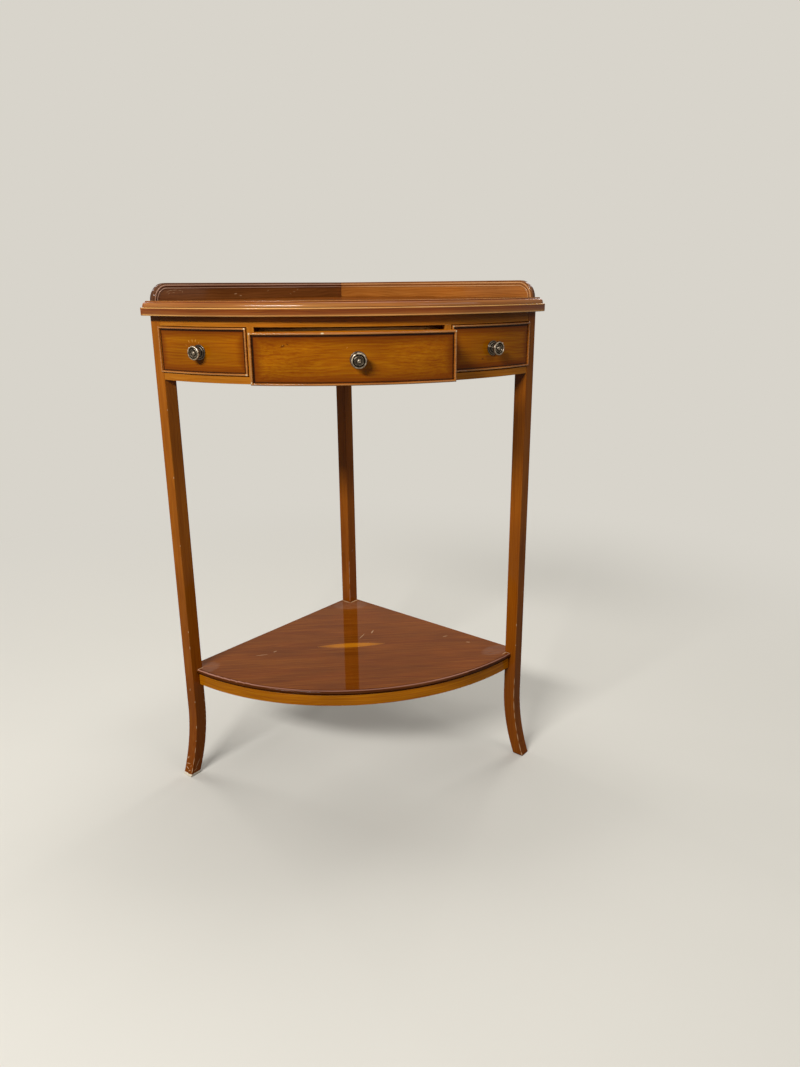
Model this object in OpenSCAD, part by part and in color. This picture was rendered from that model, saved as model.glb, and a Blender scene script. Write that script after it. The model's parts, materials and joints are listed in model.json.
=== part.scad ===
// Corner lamp table with a bow front: three square legs, a frieze with one drawer
// between two false fronts, a quadrant top with a low gallery and a quadrant shelf.
// Lengths are in millimetres. The plan is set out from the rear corner of the
// table, with the bow towards -Y, and is then moved so that the origin lies under
// the middle of the whole table.

/* [Legs] */
// Height of the legs, from the floor to the underside of the top
leg_h = 726; // [650:1:850]
// Side of the square leg
leg_w = 20; // [17:0.5:26]
// Side of the square at the foot of a front leg
foot_w = 18.5; // [14:0.5:22]
// How far the foot of a front leg sweeps outwards
foot_splay = 21.5; // [8:0.5:36]
// Height above the floor at which the sweep begins
foot_rise = 115; // [80:1:140]

/* [Plan] */
// Straight side, from the rear corner to the front face of a front leg
side_l = 388; // [350:1:460]

/* [Top] */
// Thickness of the top
top_t = 19.5; // [16:0.5:28]
// How far the top stands out in front of the frieze
top_over = 14.5; // [6:0.5:24]
// Height of the lower member of the edge moulding
top_lower_h = 11; // [8:0.5:13]
// Depth of the step above the lower member
top_step = 3.5; // [1:0.5:6]
// Radius of the quarter round above the step
top_round_r = 6; // [2:0.5:9]
// Radius of the top's lower edge
top_nose_r = 3; // [1:0.5:4]

/* [Gallery] */
// Height of the gallery above the top
gallery_h = 23.5; // [14:0.5:40]
// Thickness of the gallery rails
gallery_t = 10; // [6:0.5:14]
// Distance from each corner of the top to the end of the gallery
gallery_set = 16; // [8:0.5:40]
// Depth of the rebate in the top that each gallery rail is glued into
gallery_seat = 2; // [1:0.5:4]
// Width of the raised border along the gallery's edge
gallery_border = 8; // [3:0.5:12]
// Depth of the sunk field inside that border
gallery_sunk = 1; // [0.5:0.1:2]
// Diameter of the gallery's dowels
dowel_d = 5; // [4:0.5:6]
// How far each dowel goes into either piece
dowel_l = 10; // [6:0.5:14]

/* [Frieze] */
// Height of the frieze
frieze_h = 87.5; // [75:0.5:110]
// Height of the frieze's top rail
top_rail_h = 13.5; // [10:0.5:20]
// Height of the frieze's bottom rail
bottom_rail_h = 10; // [8:0.5:16]
// Thickness of the bowed rails, front to back
rail_t = 20; // [16:0.5:26]
// Width of the muntins beside the drawer
muntin_w = 9.5; // [8:0.5:20]
// Thickness of the false fronts
false_t = 14; // [10:0.5:18]
// Thickness of the straight side rails
side_rail_t = 14; // [10:0.5:17]
// How far the side rails lie inside the legs' outer faces
side_rail_set = 2; // [1:0.5:4]
// Shoulder left round a tenon
shoulder = 2; // [1:0.5:3]
// Wood left between two mortises in a leg
mortise_wall = 1; // [0.5:0.5:2]
// Length of the bowed rails' stub tenons
stub_l = 8; // [5:0.5:10]

/* [Cock beads] */
// Width of the cock bead
bead_w = 3.4; // [2:0.2:4]
// Depth of the rebate that the bead is glued in
bead_depth = 5; // [3:0.5:6]
// Width of the sham joint line round a false front
sham_gap = 0.8; // [0.4:0.1:1.5]
// Depth of that line
sham_depth = 3; // [1:0.5:5]

/* [Drawer] */
// Width of the drawer front
drawer_w = 250; // [200:1:280]
// Joint between the drawer front and a muntin
drawer_side_gap = 1; // [0.5:0.1:2]
// Joint below the drawer front
drawer_gap = 0.5; // [0.3:0.1:1]
// Joint above the drawer front
drawer_top_gap = 1.5; // [0.5:0.1:2.5]
// Thickness of the drawer front at its ends
drawer_front_t = 15; // [13:0.5:20]
// Thickness of the drawer sides
drawer_side_t = 10; // [7:0.5:12]
// How far the drawer sides stop below the top of the front
drawer_side_drop = 6; // [3:0.5:15]
// Thickness of the drawer back
drawer_back_t = 8; // [6:0.5:12]
// Thickness of the drawer bottom
drawer_bottom_t = 4; // [3:0.5:6]
// Height of the drawer bottom above the sides' lower edge
drawer_bottom_rise = 5; // [4:0.5:10]
// Depth of the grooves that hold the drawer bottom
groove_depth = 4; // [3:0.5:5]
// Room between the closed drawer and the side rails
drawer_back_gap = 5; // [4:0.5:20]
// Running gap beside and behind the drawer box
run_gap = 0.4; // [0.3:0.1:0.8]
// How far the drawer stands open
drawer_open = 100; // [0:1:140]
// Length of the dovetails in the drawer front
tail_l = 7; // [5:0.5:8]

/* [Runners] */
// Width of a runner inside the drawer side's inner face
runner_in = 6; // [3:0.5:12]
// Width of a guide beside the drawer
guide_w = 10; // [6:0.5:14]
// Height of a guide
guide_h = 12; // [8:0.5:20]
// Height of a drawer stop
stop_h = 10; // [6:0.5:20]
// Size of the glue blocks' section
block_w = 12; // [8:0.5:16]
// Length of the glue blocks
block_l = 40; // [20:1:60]
// Shank diameter of the top's screws
screw_d = 4; // [3:0.5:5]
// How far those screws go into the top
screw_bite = 11; // [8:0.5:13]

/* [Knobs] */
// Diameter of the knob's disc
knob_d = 19.2; // [14:0.2:24]
// How far the knob stands out from the front
knob_reach = 14; // [12:0.5:24]
// Thickness of the knob's disc at its rim
knob_rim_t = 3.2; // [2:0.2:5]
// Diameter of the knob's neck
knob_neck_d = 7.4; // [6:0.2:10]
// Diameter of the rose behind the knob
rose_d = 20.4; // [16:0.2:28]
// Thickness of the rose
rose_t = 2.6; // [1.5:0.1:4]
// Diameter of the knob's threaded shank
shank_d = 4; // [3:0.5:5]
// Width of the nut on the shank
nut_w = 8; // [7:0.5:10]
// Thickness of the nut
nut_t = 3.2; // [2.5:0.1:5]
// How far the knobs lie below the middle of the fronts
knob_drop = 1.5; // [0:0.5:4]
// How far the false fronts' knobs lie to the left of the middle
false_knob_left = 2; // [-6:0.5:6]
// How far the drawer's knob lies to the right of the middle
drawer_knob_right = 4; // [-6:0.5:6]

/* [Shelf] */
// Height of the shelf's top surface above the floor
shelf_h = 183; // [170:1:300]
// How far the shelf's bow lies behind the front faces of the legs
shelf_set = 8; // [4:0.5:16]
// Thickness of the shelf board
shelf_t = 9; // [8:0.5:16]
// Radius of the quarter round on the shelf's upper edge
shelf_round_r = 5; // [2:0.5:6]
// Height of the apron below the shelf
apron_h = 18; // [10:0.5:22]
// Thickness of the apron
apron_t = 14; // [8:0.5:20]
// How far the apron lies behind the shelf's edge
apron_set = 4; // [2:0.5:10]
// Length of the pointed inlay
inlay_l = 115; // [60:1:160]
// Width of the inlay
inlay_w = 16; // [8:0.5:40]
// Thickness of the inlay veneer
inlay_t = 1; // [0.6:0.1:2]
// Distance of the inlay's middle from the rear corner
inlay_from_corner = 220; // [160:1:280]
// How far the inlay lies to the left of the middle
inlay_left = 6; // [-20:1:20]
// Diameter of the shelf's dowels
shelf_dowel_d = 5; // [4:0.5:6]
// How far a shelf dowel goes into the board
shelf_dowel_l = 14; // [8:0.5:24]

/* [Hidden] */
$fn = 96;
eps = 0.01;
cut_clear = 1;
bow_fn = 360;

// Heights
top_z = leg_h + top_t;
frieze_z = leg_h - frieze_h;
opening_z = frieze_z + bottom_rail_h;
opening_h = frieze_h - top_rail_h - bottom_rail_h;
knob_z = opening_z + opening_h / 2 - knob_drop;
shelf_z = shelf_h - shelf_t;

// Plan
top_r = side_l + top_over;
rail_in_r = side_l - rail_t;
inner_set = side_rail_set + side_rail_t;
opening_x = drawer_w / 2 + drawer_side_gap;
false_x = opening_x + muntin_w;
shelf_r = side_l - shelf_set;
apron_r = shelf_r - apron_set;

// How far a false front's beads reach over the leg that they are let into
bead_lap = sham_gap + bead_w;

// The swept foot: both edges are arcs that leave the straight leg smoothly
foot_front_out = foot_splay - (leg_w - foot_w) / 2;
foot_back_out = foot_splay + (leg_w - foot_w) / 2;
function sweep_r(out) = (foot_rise * foot_rise + out * out) / (2 * out);

// Drawer
drawer_end_y = -sqrt(side_l * side_l - drawer_w * drawer_w / 4);
drawer_plane_y = drawer_end_y + drawer_front_t;
drawer_back_y = -(drawer_w / 2 + (inner_set + drawer_back_gap) * sqrt(2));
drawer_z = opening_z + drawer_gap;
drawer_front_h = opening_h - drawer_gap - drawer_top_gap;
drawer_side_h = drawer_front_h - drawer_side_drop;
drawer_bottom_z = drawer_z + drawer_bottom_rise;
drawer_in_x = drawer_w / 2 - drawer_side_t;

// A false front's middle, as an angle from the middle of the bow
false_angle_in = asin(false_x / side_l);
false_angle_out = 45 - asin(leg_w / side_l);
false_angle = (false_angle_in + false_angle_out) / 2;

// Angles of the three knobs, from the middle of the bow
function along_bow(length) = length / side_l * 180 / PI;
left_knob_angle = -false_angle - along_bow(false_knob_left);
right_knob_angle = false_angle - along_bow(false_knob_left);
drawer_knob_angle = along_bow(drawer_knob_right);

// The rear corner's place, so that the origin is under the middle of the table
front_reach = max(side_l + knob_reach + drawer_open, top_r);
corner_y = front_reach / 2;

mahogany = [0.52, 0.23, 0.08];
yew = [0.66, 0.35, 0.11];
bead_wood = [0.72, 0.42, 0.18];
bare_wood = [0.80, 0.66, 0.45];
brass = [0.45, 0.38, 0.25];
steel = [0.62, 0.62, 0.60];

// Placing

module place() {
  translate([0, corner_y, 0]) children();
}

module place_drawer() {
  place() translate([0, -drawer_open, 0]) children();
}

// Left side: x runs along it from the rear corner, y runs inwards
module on_left() {
  rotate([0, 0, 225]) children();
}

module on_side(right) {
  if (right) mirror([1, 0, 0]) on_left() children();
  else on_left() children();
}

// The part of the plan that lies at least inset inside both straight sides
module wedge(inset) {
  reach = 2 * side_l;
  tip = -inset * sqrt(2);
  polygon([[0, tip], [-reach, tip - reach], [reach, tip - reach]]);
}

module bow_band(r_out, r_in) {
  difference() {
    circle(r_out, $fn = bow_fn);
    circle(r_in, $fn = bow_fn);
  }
}

module raise(z, h) {
  translate([0, 0, z]) linear_extrude(h) children();
}

// The local z axis points straight out of the bow
module on_bow(angle, z, r = side_l) {
  rotate([0, 0, angle]) translate([0, -r, z]) rotate([90, 0, 0]) children();
}

// Top and gallery

module top_profile() {
  round_r = min(top_round_r, top_t - top_lower_h);
  nose_r = min(top_nose_r, top_lower_h / 2);
  upper_r = top_r - top_step;
  square([top_r - nose_r, top_lower_h]);
  translate([0, nose_r]) square([top_r, top_lower_h - nose_r]);
  translate([top_r - nose_r, nose_r]) circle(nose_r);
  square([upper_r - round_r, top_t]);
  square([upper_r, top_t - round_r]);
  translate([upper_r - round_r, top_t - round_r]) circle(round_r);
}

gallery_l = top_r - gallery_set;
gallery_z = top_z - gallery_seat;
gallery_dowel_x = [gallery_l * 0.15, gallery_l * 0.5, gallery_l * 0.85];

module gallery_dowel_set(right) {
  on_side(right)
    for (x = gallery_dowel_x)
      translate([x, gallery_t / 2, gallery_z - dowel_l]) cylinder(h = 2 * dowel_l, d = dowel_d);
}

// The rebates of both rails, open to the outside
module gallery_seats() {
  for (right = [false, true])
    on_side(right) translate([-cut_clear, -cut_clear, gallery_z])
      cube([cut_clear + gallery_l, cut_clear + gallery_t, gallery_seat + cut_clear]);
}

module top_board() {
  color(mahogany) place() difference() {
    translate([0, 0, leg_h]) rotate([0, 0, 225]) rotate_extrude(angle = 90, $fn = bow_fn) top_profile();
    gallery_seats();
    gallery_dowel_set(false);
    gallery_dowel_set(true);
    top_screw_set();
  }
}

// Side view of a gallery rail with its border taken off by inset
module gallery_outline(inset) {
  r = gallery_h - inset;
  square([gallery_l - gallery_h, r]);
  translate([gallery_l - gallery_h, 0]) intersection() {
    circle(r);
    square(r);
  }
}

module gallery_rail(right) {
  color(mahogany) place() difference() {
    intersection() {
      on_side(right) translate([0, gallery_t, top_z]) rotate([90, 0, 0]) linear_extrude(gallery_t) {
        gallery_outline(0);
        translate([0, -gallery_seat]) square([gallery_l, gallery_seat]);
      }
      mirror([right ? 1 : 0, 0, 0]) translate([-top_r, -top_r, gallery_z])
        cube([top_r, 2 * top_r, gallery_seat + gallery_h]);
    }
    on_side(right) translate([0, gallery_t + eps, top_z - eps]) rotate([90, 0, 0])
      linear_extrude(gallery_sunk + eps) gallery_outline(gallery_border);
    gallery_dowel_set(right);
  }
}

module gallery_dowels() {
  color(bare_wood) place() {
    gallery_dowel_set(false);
    gallery_dowel_set(true);
  }
}

// Legs

module sweep_side_view() {
  front_r = sweep_r(foot_front_out);
  back_r = sweep_r(foot_back_out);
  intersection() {
    difference() {
      translate([side_l - leg_w + back_r, foot_rise]) circle(back_r, $fn = bow_fn);
      translate([side_l + front_r, foot_rise]) circle(front_r, $fn = bow_fn);
    }
    translate([side_l - leg_w, 0]) square([leg_w + foot_splay + foot_w, foot_rise]);
  }
}

module sweep_front_view() {
  narrow = (leg_w - foot_w) / 2;
  polygon([[narrow, 0], [leg_w - narrow, 0], [leg_w, foot_rise], [0, foot_rise]]);
}

module front_leg(right) {
  color(yew) place() difference() {
    on_side(right) {
      translate([side_l - leg_w, 0, foot_rise]) cube([leg_w, leg_w, leg_h - foot_rise]);
      intersection() {
        translate([0, leg_w, 0]) rotate([90, 0, 0]) linear_extrude(leg_w) sweep_side_view();
        translate([side_l - leg_w, 0, 0]) rotate([90, 0, 90])
          linear_extrude(leg_w + foot_splay + foot_w) sweep_front_view();
      }
    }
    side_tenon(right, true);
    stub_tenons(right, leg_h - top_rail_h, top_rail_h);
    stub_tenons(right, frieze_z, bottom_rail_h);
    mirror([right ? 0 : 1, 0, 0]) false_bead_rebate();
    shelf_dowel_set(right, true);
  }
}

module rear_leg() {
  color(yew) place() difference() {
    on_left() cube([leg_w, leg_w, leg_h]);
    side_tenon(false, false);
    side_tenon(true, false);
    shelf_dowel_set(false, false);
    shelf_dowel_set(true, false);
  }
}

// Frieze

// Tenon of a side rail, in the back half of a front leg or in the rear leg
module side_tenon(right, front) {
  l = leg_w / 2 - mortise_wall;
  y = side_rail_set + shoulder;
  on_side(right)
    translate([front ? side_l - leg_w : leg_w - l, y, frieze_z + shoulder])
      cube([l, leg_w / 2 - y, frieze_h - 2 * shoulder]);
}

// Stub tenons of a bowed rail, in the front half of the legs
module stub_tenons(right, z, h) {
  on_side(right)
    translate([side_l - leg_w / 2 + mortise_wall, leg_w - stub_l, z + shoulder])
      cube([leg_w / 2 - mortise_wall - shoulder, stub_l + shoulder, h - 2 * shoulder]);
}

module side_rail(right) {
  color(mahogany) place() {
    on_side(right) translate([leg_w, side_rail_set, frieze_z])
      cube([side_l - 2 * leg_w, side_rail_t, frieze_h]);
    side_tenon(right, true);
    side_tenon(right, false);
  }
}

module bow_rail(z, h) {
  intersection() {
    union() {
      raise(z, h) intersection() {
        bow_band(side_l, rail_in_r);
        wedge(leg_w);
      }
      stub_tenons(false, z, h);
      stub_tenons(true, z, h);
    }
    raise(z, h) circle(side_l, $fn = bow_fn);
  }
}

module frieze_top_rail() {
  color(yew) place() bow_rail(leg_h - top_rail_h, top_rail_h);
}

module frieze_bottom_rail() {
  color(yew) place() bow_rail(frieze_z, bottom_rail_h);
}

module muntin(right) {
  color(yew) place() mirror([right ? 0 : 1, 0, 0])
    raise(opening_z, opening_h) intersection() {
      bow_band(side_l, rail_in_r);
      translate([opening_x, -side_l]) square([muntin_w, side_l]);
    }
}

// Fronts and beads. A region is the plan of a front, drawn in by inset.

module false_region(inset) {
  intersection() {
    wedge(leg_w - bead_lap + inset);
    translate([false_x + inset, -2 * side_l]) square([side_l, 2 * side_l]);
  }
}

module drawer_region(inset) {
  translate([inset - drawer_w / 2, -2 * side_l]) square([drawer_w - 2 * inset, 2 * side_l]);
}

module region(is_drawer, inset) {
  if (is_drawer) drawer_region(inset);
  else false_region(inset);
}

// A band along the front's edge, from inset to inset + width, from r_in out to r_out
module edge_frame(is_drawer, z, h, inset, width, r_in, r_out) {
  difference() {
    raise(z + inset, h - 2 * inset) intersection() {
      bow_band(r_out, r_in);
      region(is_drawer, inset);
    }
    raise(z + inset + width, h - 2 * (inset + width)) region(is_drawer, inset + width);
  }
}

// Half-round cock bead standing in its rebate
module bead_ring(is_drawer, z, h, inset) {
  r = bead_w / 2;
  edge = inset + r;
  edge_frame(is_drawer, z, h, inset, bead_w, side_l - bead_depth, side_l);
  for (bead_z = [z + edge, z + h - edge])
    intersection() {
      translate([0, 0, bead_z]) rotate_extrude($fn = bow_fn) translate([side_l, 0]) circle(r, $fn = 32);
      raise(bead_z - bead_w, 2 * bead_w) region(is_drawer, edge);
    }
  for (p = is_drawer ? drawer_bead_places(edge) : false_bead_places(edge))
    translate([p[0], p[1], z + inset]) cylinder(h = h - 2 * inset, r = r, $fn = 32);
}

// Rebate of a false front's beads, partly in the front and partly in the leg
module false_bead_rebate() {
  edge_frame(false, opening_z, opening_h, sham_gap, bead_w, side_l - bead_depth, side_l + cut_clear);
}

function on_arc(x) = [x, -sqrt(side_l * side_l - x * x)];
function drawer_bead_places(edge) = [on_arc(drawer_w / 2 - edge), on_arc(edge - drawer_w / 2)];
function false_bead_places(edge) =
  [on_arc(false_x + edge), on_arc(side_l * sin(45 - asin((leg_w - bead_lap + edge) / side_l)))];

module false_front(right) {
  color(yew) place() difference() {
    mirror([right ? 0 : 1, 0, 0]) difference() {
      raise(opening_z, opening_h) intersection() {
        bow_band(side_l, side_l - false_t);
        wedge(leg_w);
        false_region(0);
      }
      edge_frame(false, opening_z, opening_h, -cut_clear, cut_clear + sham_gap + bead_w,
                 side_l - sham_depth, side_l + cut_clear);
      false_bead_rebate();
    }
    shank(right ? right_knob_angle : left_knob_angle, side_l, false_t + eps);
  }
}

module false_beads(right) {
  color(bead_wood) place() mirror([right ? 0 : 1, 0, 0])
    bead_ring(false, opening_z, opening_h, sham_gap);
}

module drawer_front() {
  color(yew) place_drawer() difference() {
    raise(drawer_z, drawer_front_h) intersection() {
      circle(side_l, $fn = bow_fn);
      translate([-drawer_w / 2, -2 * side_l]) square([drawer_w, 2 * side_l + drawer_plane_y]);
    }
    edge_frame(true, drawer_z, drawer_front_h, 0, bead_w, side_l - bead_depth, side_l + cut_clear);
    drawer_tails(1);
    drawer_tails(-1);
    drawer_bottom_panel();
    shank(drawer_knob_angle, side_l, side_l + drawer_plane_y + eps);
  }
}

module drawer_beads() {
  color(bead_wood) place_drawer() bead_ring(true, drawer_z, drawer_front_h, 0);
}

// Drawer box

// Two dovetails, cut in the side's end and let into the drawer front
module drawer_tails(side) {
  pitch = drawer_side_h / 2;
  root = pitch * 0.28;
  tip = pitch * 0.36;
  x = side > 0 ? drawer_in_x : -drawer_w / 2;
  for (i = [0, 1])
    translate([x, drawer_plane_y, drawer_z + pitch * (i + 0.5)]) rotate([90, 0, 90])
      linear_extrude(drawer_side_t) polygon([[0, -root], [0, root], [-tail_l, tip], [-tail_l, -tip]]);
}

module drawer_bottom_panel() {
  half = drawer_in_x + groove_depth;
  y = drawer_plane_y - groove_depth;
  translate([-half, y, drawer_bottom_z]) cube([2 * half, drawer_back_y - y, drawer_bottom_t]);
}

module drawer_side(side) {
  x = side > 0 ? drawer_in_x : -drawer_w / 2;
  color(bare_wood) place_drawer() difference() {
    union() {
      translate([x, drawer_plane_y, drawer_z])
        cube([drawer_side_t, drawer_back_y - drawer_plane_y, drawer_side_h]);
      drawer_tails(side);
    }
    drawer_bottom_panel();
  }
}

module drawer_back() {
  z = drawer_bottom_z + drawer_bottom_t;
  color(bare_wood) place_drawer()
    translate([-drawer_in_x, drawer_back_y - drawer_back_t, z])
      cube([2 * drawer_in_x, drawer_back_t, drawer_z + drawer_side_h - z]);
}

module drawer_bottom() {
  color(bare_wood) place_drawer() drawer_bottom_panel();
}

// Carriers of the drawer

// Plan of a batten between the bowed rail and a side rail, from x0 to x1
module batten_plan(side, x0, x1) {
  mirror([side > 0 ? 0 : 1, 0, 0]) intersection() {
    circle(rail_in_r, $fn = bow_fn);
    wedge(inner_set);
    translate([x0, -side_l]) square([x1 - x0, side_l]);
  }
}

runner_x0 = drawer_in_x - runner_in;
guide_x0 = drawer_w / 2 + run_gap;
runner_x1 = guide_x0 + guide_w;

module drawer_runner(side) {
  color(bare_wood) place() raise(frieze_z, bottom_rail_h) batten_plan(side, runner_x0, runner_x1);
}

module drawer_guide(side) {
  color(bare_wood) place() raise(opening_z, guide_h) batten_plan(side, guide_x0, runner_x1);
}

module kicker(side) {
  color(bare_wood) place() difference() {
    raise(leg_h - top_rail_h, top_rail_h) batten_plan(side, runner_x0, runner_x1);
    top_screw_set();
  }
}

module drawer_stops() {
  color(bare_wood) place() for (side = [-1, 1])
    raise(opening_z, stop_h) intersection() {
      batten_plan(side, drawer_in_x, drawer_w / 2);
      translate([-side_l, drawer_back_y + run_gap]) square([2 * side_l, side_l]);
    }
}

// Countersunk screws through the kickers into the top
module top_screw_set() {
  x = (runner_x0 + runner_x1) / 2;
  z = leg_h - top_rail_h;
  head_h = screw_d / 2;
  for (sx = [-x, x], y = [drawer_plane_y + block_l, drawer_back_y - block_l])
    translate([sx, y, z]) {
      cylinder(h = top_rail_h + screw_bite, d = screw_d, $fn = 32);
      cylinder(h = head_h, d1 = 2 * screw_d, d2 = screw_d, $fn = 32);
    }
}

module top_screws() {
  color(steel) place() top_screw_set();
}

// Glue blocks in the angle between a side rail and the top
module top_blocks(right) {
  color(bare_wood) place() on_side(right)
    for (x = [leg_w + block_l, side_l - leg_w - 2 * block_l])
      translate([x, inner_set, leg_h - block_w]) cube([block_l, block_w, block_w]);
}

// Knobs

module shank(angle, r, length) {
  on_bow(angle, knob_z, r) translate([0, 0, -length]) cylinder(h = length + rose_t, d = shank_d, $fn = 32);
}

// The knob's turned outline, out from the rose to the hollowed disc
module knob_profile() {
  neck_r = knob_neck_d / 2;
  rim_r = knob_d / 2;
  rim_z = knob_reach - knob_rim_t;
  foot_r = neck_r + 2;
  polygon([
    [0, rose_t], [foot_r, rose_t], [foot_r, rose_t + 1], [neck_r + 0.6, rose_t + 2.2],
    [neck_r, rose_t + 4], [neck_r + 0.5, rim_z - 2.4], [rim_r - 2.6, rim_z - 0.8],
    [rim_r - 0.6, rim_z + 0.2], [rim_r, rim_z + 1.1], [rim_r, rim_z + 2], [rim_r - 0.7, knob_reach - 0.3],
    [rim_r - 1.5, knob_reach], [rim_r - 2.5, knob_reach - 0.3], [rim_r - 3, knob_reach - 1.2],
    [neck_r + 0.6, knob_reach - 1.4], [neck_r, knob_reach - 0.8], [neck_r - 1, knob_reach - 0.5],
    [0, knob_reach - 0.3]
  ]);
}

module knob(angle, wall) {
  length = wall + nut_t + 1;
  color(brass) {
    on_bow(angle, knob_z) rotate_extrude() knob_profile();
    shank(angle, side_l, length);
  }
}

module rose(angle) {
  r = rose_d / 2;
  hole_r = shank_d / 2;
  color(brass) on_bow(angle, knob_z) rotate_extrude()
    polygon([
      [hole_r, 0], [r, 0], [r, 0.8], [r - 0.8, 1.5], [r - 2, 1.6],
      [r - 2.6, rose_t - 0.3], [r - 3.4, rose_t], [hole_r, rose_t]
    ]);
}

// Hexagon nut at the back of a front that is wall thick at the knob
module knob_nut(angle, wall) {
  color(steel) on_bow(angle, knob_z, side_l - wall) translate([0, 0, -nut_t]) difference() {
    cylinder(h = nut_t, d = nut_w, $fn = 6);
    translate([0, 0, -eps]) cylinder(h = nut_t + 2 * eps, d = shank_d, $fn = 32);
  }
}

// A flat nut touches the hollow back of a bowed front this far out
nut_seat = false_t + side_l - false_t - sqrt(pow(side_l - false_t, 2) - nut_w * nut_w / 4);
drawer_wall = side_l + drawer_plane_y;

// Shelf

module shelf_profile() {
  r = min(shelf_round_r, shelf_t - 2);
  square([shelf_r - r, shelf_t]);
  square([shelf_r, shelf_t - r]);
  translate([shelf_r - r, shelf_t - r]) intersection() {
    circle(r);
    square(r);
  }
}

module leg_squares(z, h) {
  for (x = [0, side_l - leg_w], right = [false, true])
    on_side(right) translate([x, 0, z]) cube([leg_w, leg_w, h]);
}

// Dowels from the shelf's edge into a front leg, or into the rear leg
module shelf_dowel_set(right, front) {
  in_leg = leg_w / 2 - mortise_wall - shelf_dowel_d / 2;
  x = front ? side_l - leg_w - shelf_dowel_l : leg_w - in_leg;
  on_side(right) translate([x, leg_w / 2, shelf_z + shelf_t / 2]) rotate([0, 90, 0])
    cylinder(h = shelf_dowel_l + in_leg, d = shelf_dowel_d, $fn = 32);
}

module all_shelf_dowels() {
  for (right = [false, true], front = [false, true]) shelf_dowel_set(right, front);
}

// Two equal arcs that meet in points
module inlay_plan() {
  half_l = inlay_l / 2;
  half_w = inlay_w / 2;
  r = (half_l * half_l + half_w * half_w) / (2 * half_w);
  translate([-inlay_left, -inlay_from_corner]) intersection() {
    translate([0, r - half_w]) circle(r, $fn = bow_fn);
    translate([0, half_w - r]) circle(r, $fn = bow_fn);
  }
}

module shelf_board() {
  color(mahogany) place() difference() {
    translate([0, 0, shelf_z]) rotate([0, 0, 225]) rotate_extrude(angle = 90, $fn = bow_fn) shelf_profile();
    leg_squares(shelf_z - eps, shelf_t + 2 * eps);
    all_shelf_dowels();
    raise(shelf_h - inlay_t, inlay_t + eps) inlay_plan();
  }
}

module shelf_inlay() {
  color([0.85, 0.6, 0.25]) place() raise(shelf_h - inlay_t, inlay_t) inlay_plan();
}

module shelf_apron() {
  color(yew) place() raise(shelf_z - apron_h, apron_h) intersection() {
    bow_band(apron_r, apron_r - apron_t);
    wedge(leg_w);
  }
}

module shelf_dowels() {
  color(bare_wood) place() all_shelf_dowels();
}

// Three glue blocks in the angle between the apron and the shelf
module apron_blocks() {
  color(bare_wood) place() for (angle = [-25, 0, 25])
    raise(shelf_z - block_w, block_w) intersection() {
      bow_band(apron_r - apron_t, apron_r - apron_t - block_w);
      rotate([0, 0, angle]) translate([-block_l / 2, -side_l]) square([block_l, side_l]);
    }
}

top_board();
gallery_rail(false);  // gallery_rail_left
gallery_rail(true);  // gallery_rail_right
gallery_dowels();
front_leg(false);  // front_leg_left
front_leg(true);  // front_leg_right
rear_leg();
side_rail(false);  // side_rail_left
side_rail(true);  // side_rail_right
frieze_top_rail();
frieze_bottom_rail();
muntin(false);  // muntin_left
muntin(true);  // muntin_right
false_front(false);  // false_front_left
false_front(true);  // false_front_right
false_beads(false);  // false_beads_left
false_beads(true);  // false_beads_right
drawer_runner(-1);  // drawer_runner_left
drawer_runner(1);  // drawer_runner_right
drawer_guide(-1);  // drawer_guide_left
drawer_guide(1);  // drawer_guide_right
kicker(-1);  // kicker_left
kicker(1);  // kicker_right
drawer_stops();
top_screws();
top_blocks(false);  // top_block_left
top_blocks(true);  // top_block_right
drawer_front();
drawer_beads();
drawer_side(-1);  // drawer_side_left
drawer_side(1);  // drawer_side_right
drawer_back();
drawer_bottom();
place() knob(left_knob_angle, nut_seat);  // knob_left
place() knob(right_knob_angle, nut_seat);  // knob_right
place_drawer() knob(drawer_knob_angle, drawer_wall);  // knob_drawer
place() rose(left_knob_angle);  // rose_left
place() rose(right_knob_angle);  // rose_right
place_drawer() rose(drawer_knob_angle);  // rose_drawer
place() knob_nut(left_knob_angle, nut_seat);  // knob_nut_left
place() knob_nut(right_knob_angle, nut_seat);  // knob_nut_right
place_drawer() knob_nut(drawer_knob_angle, drawer_wall);  // knob_nut_drawer
shelf_board();
shelf_inlay();
shelf_apron();
shelf_dowels();
apron_blocks();
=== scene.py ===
# Corner lamp table with a bow front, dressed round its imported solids.
# Sizes are in millimetres, which MM turns into Blender's metres, apart from the floor's and the lamps'.
import json
import math

import bmesh
import bpy
from mathutils import Matrix, Vector


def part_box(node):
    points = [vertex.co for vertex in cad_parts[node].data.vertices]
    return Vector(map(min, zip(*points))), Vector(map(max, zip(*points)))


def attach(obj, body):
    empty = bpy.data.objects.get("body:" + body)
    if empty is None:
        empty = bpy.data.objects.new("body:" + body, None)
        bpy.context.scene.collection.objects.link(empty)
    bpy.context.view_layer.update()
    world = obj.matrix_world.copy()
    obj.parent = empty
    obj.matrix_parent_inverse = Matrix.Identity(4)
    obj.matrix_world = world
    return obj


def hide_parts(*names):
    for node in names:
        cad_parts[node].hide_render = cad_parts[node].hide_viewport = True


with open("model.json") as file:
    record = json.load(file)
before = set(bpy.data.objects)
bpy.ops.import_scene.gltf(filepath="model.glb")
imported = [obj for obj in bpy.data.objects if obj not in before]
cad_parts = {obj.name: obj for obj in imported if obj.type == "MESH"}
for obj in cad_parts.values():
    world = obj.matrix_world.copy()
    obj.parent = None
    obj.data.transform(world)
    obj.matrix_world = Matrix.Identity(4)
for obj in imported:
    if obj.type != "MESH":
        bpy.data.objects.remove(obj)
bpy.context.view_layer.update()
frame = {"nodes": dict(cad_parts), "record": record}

MM = 0.001
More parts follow.
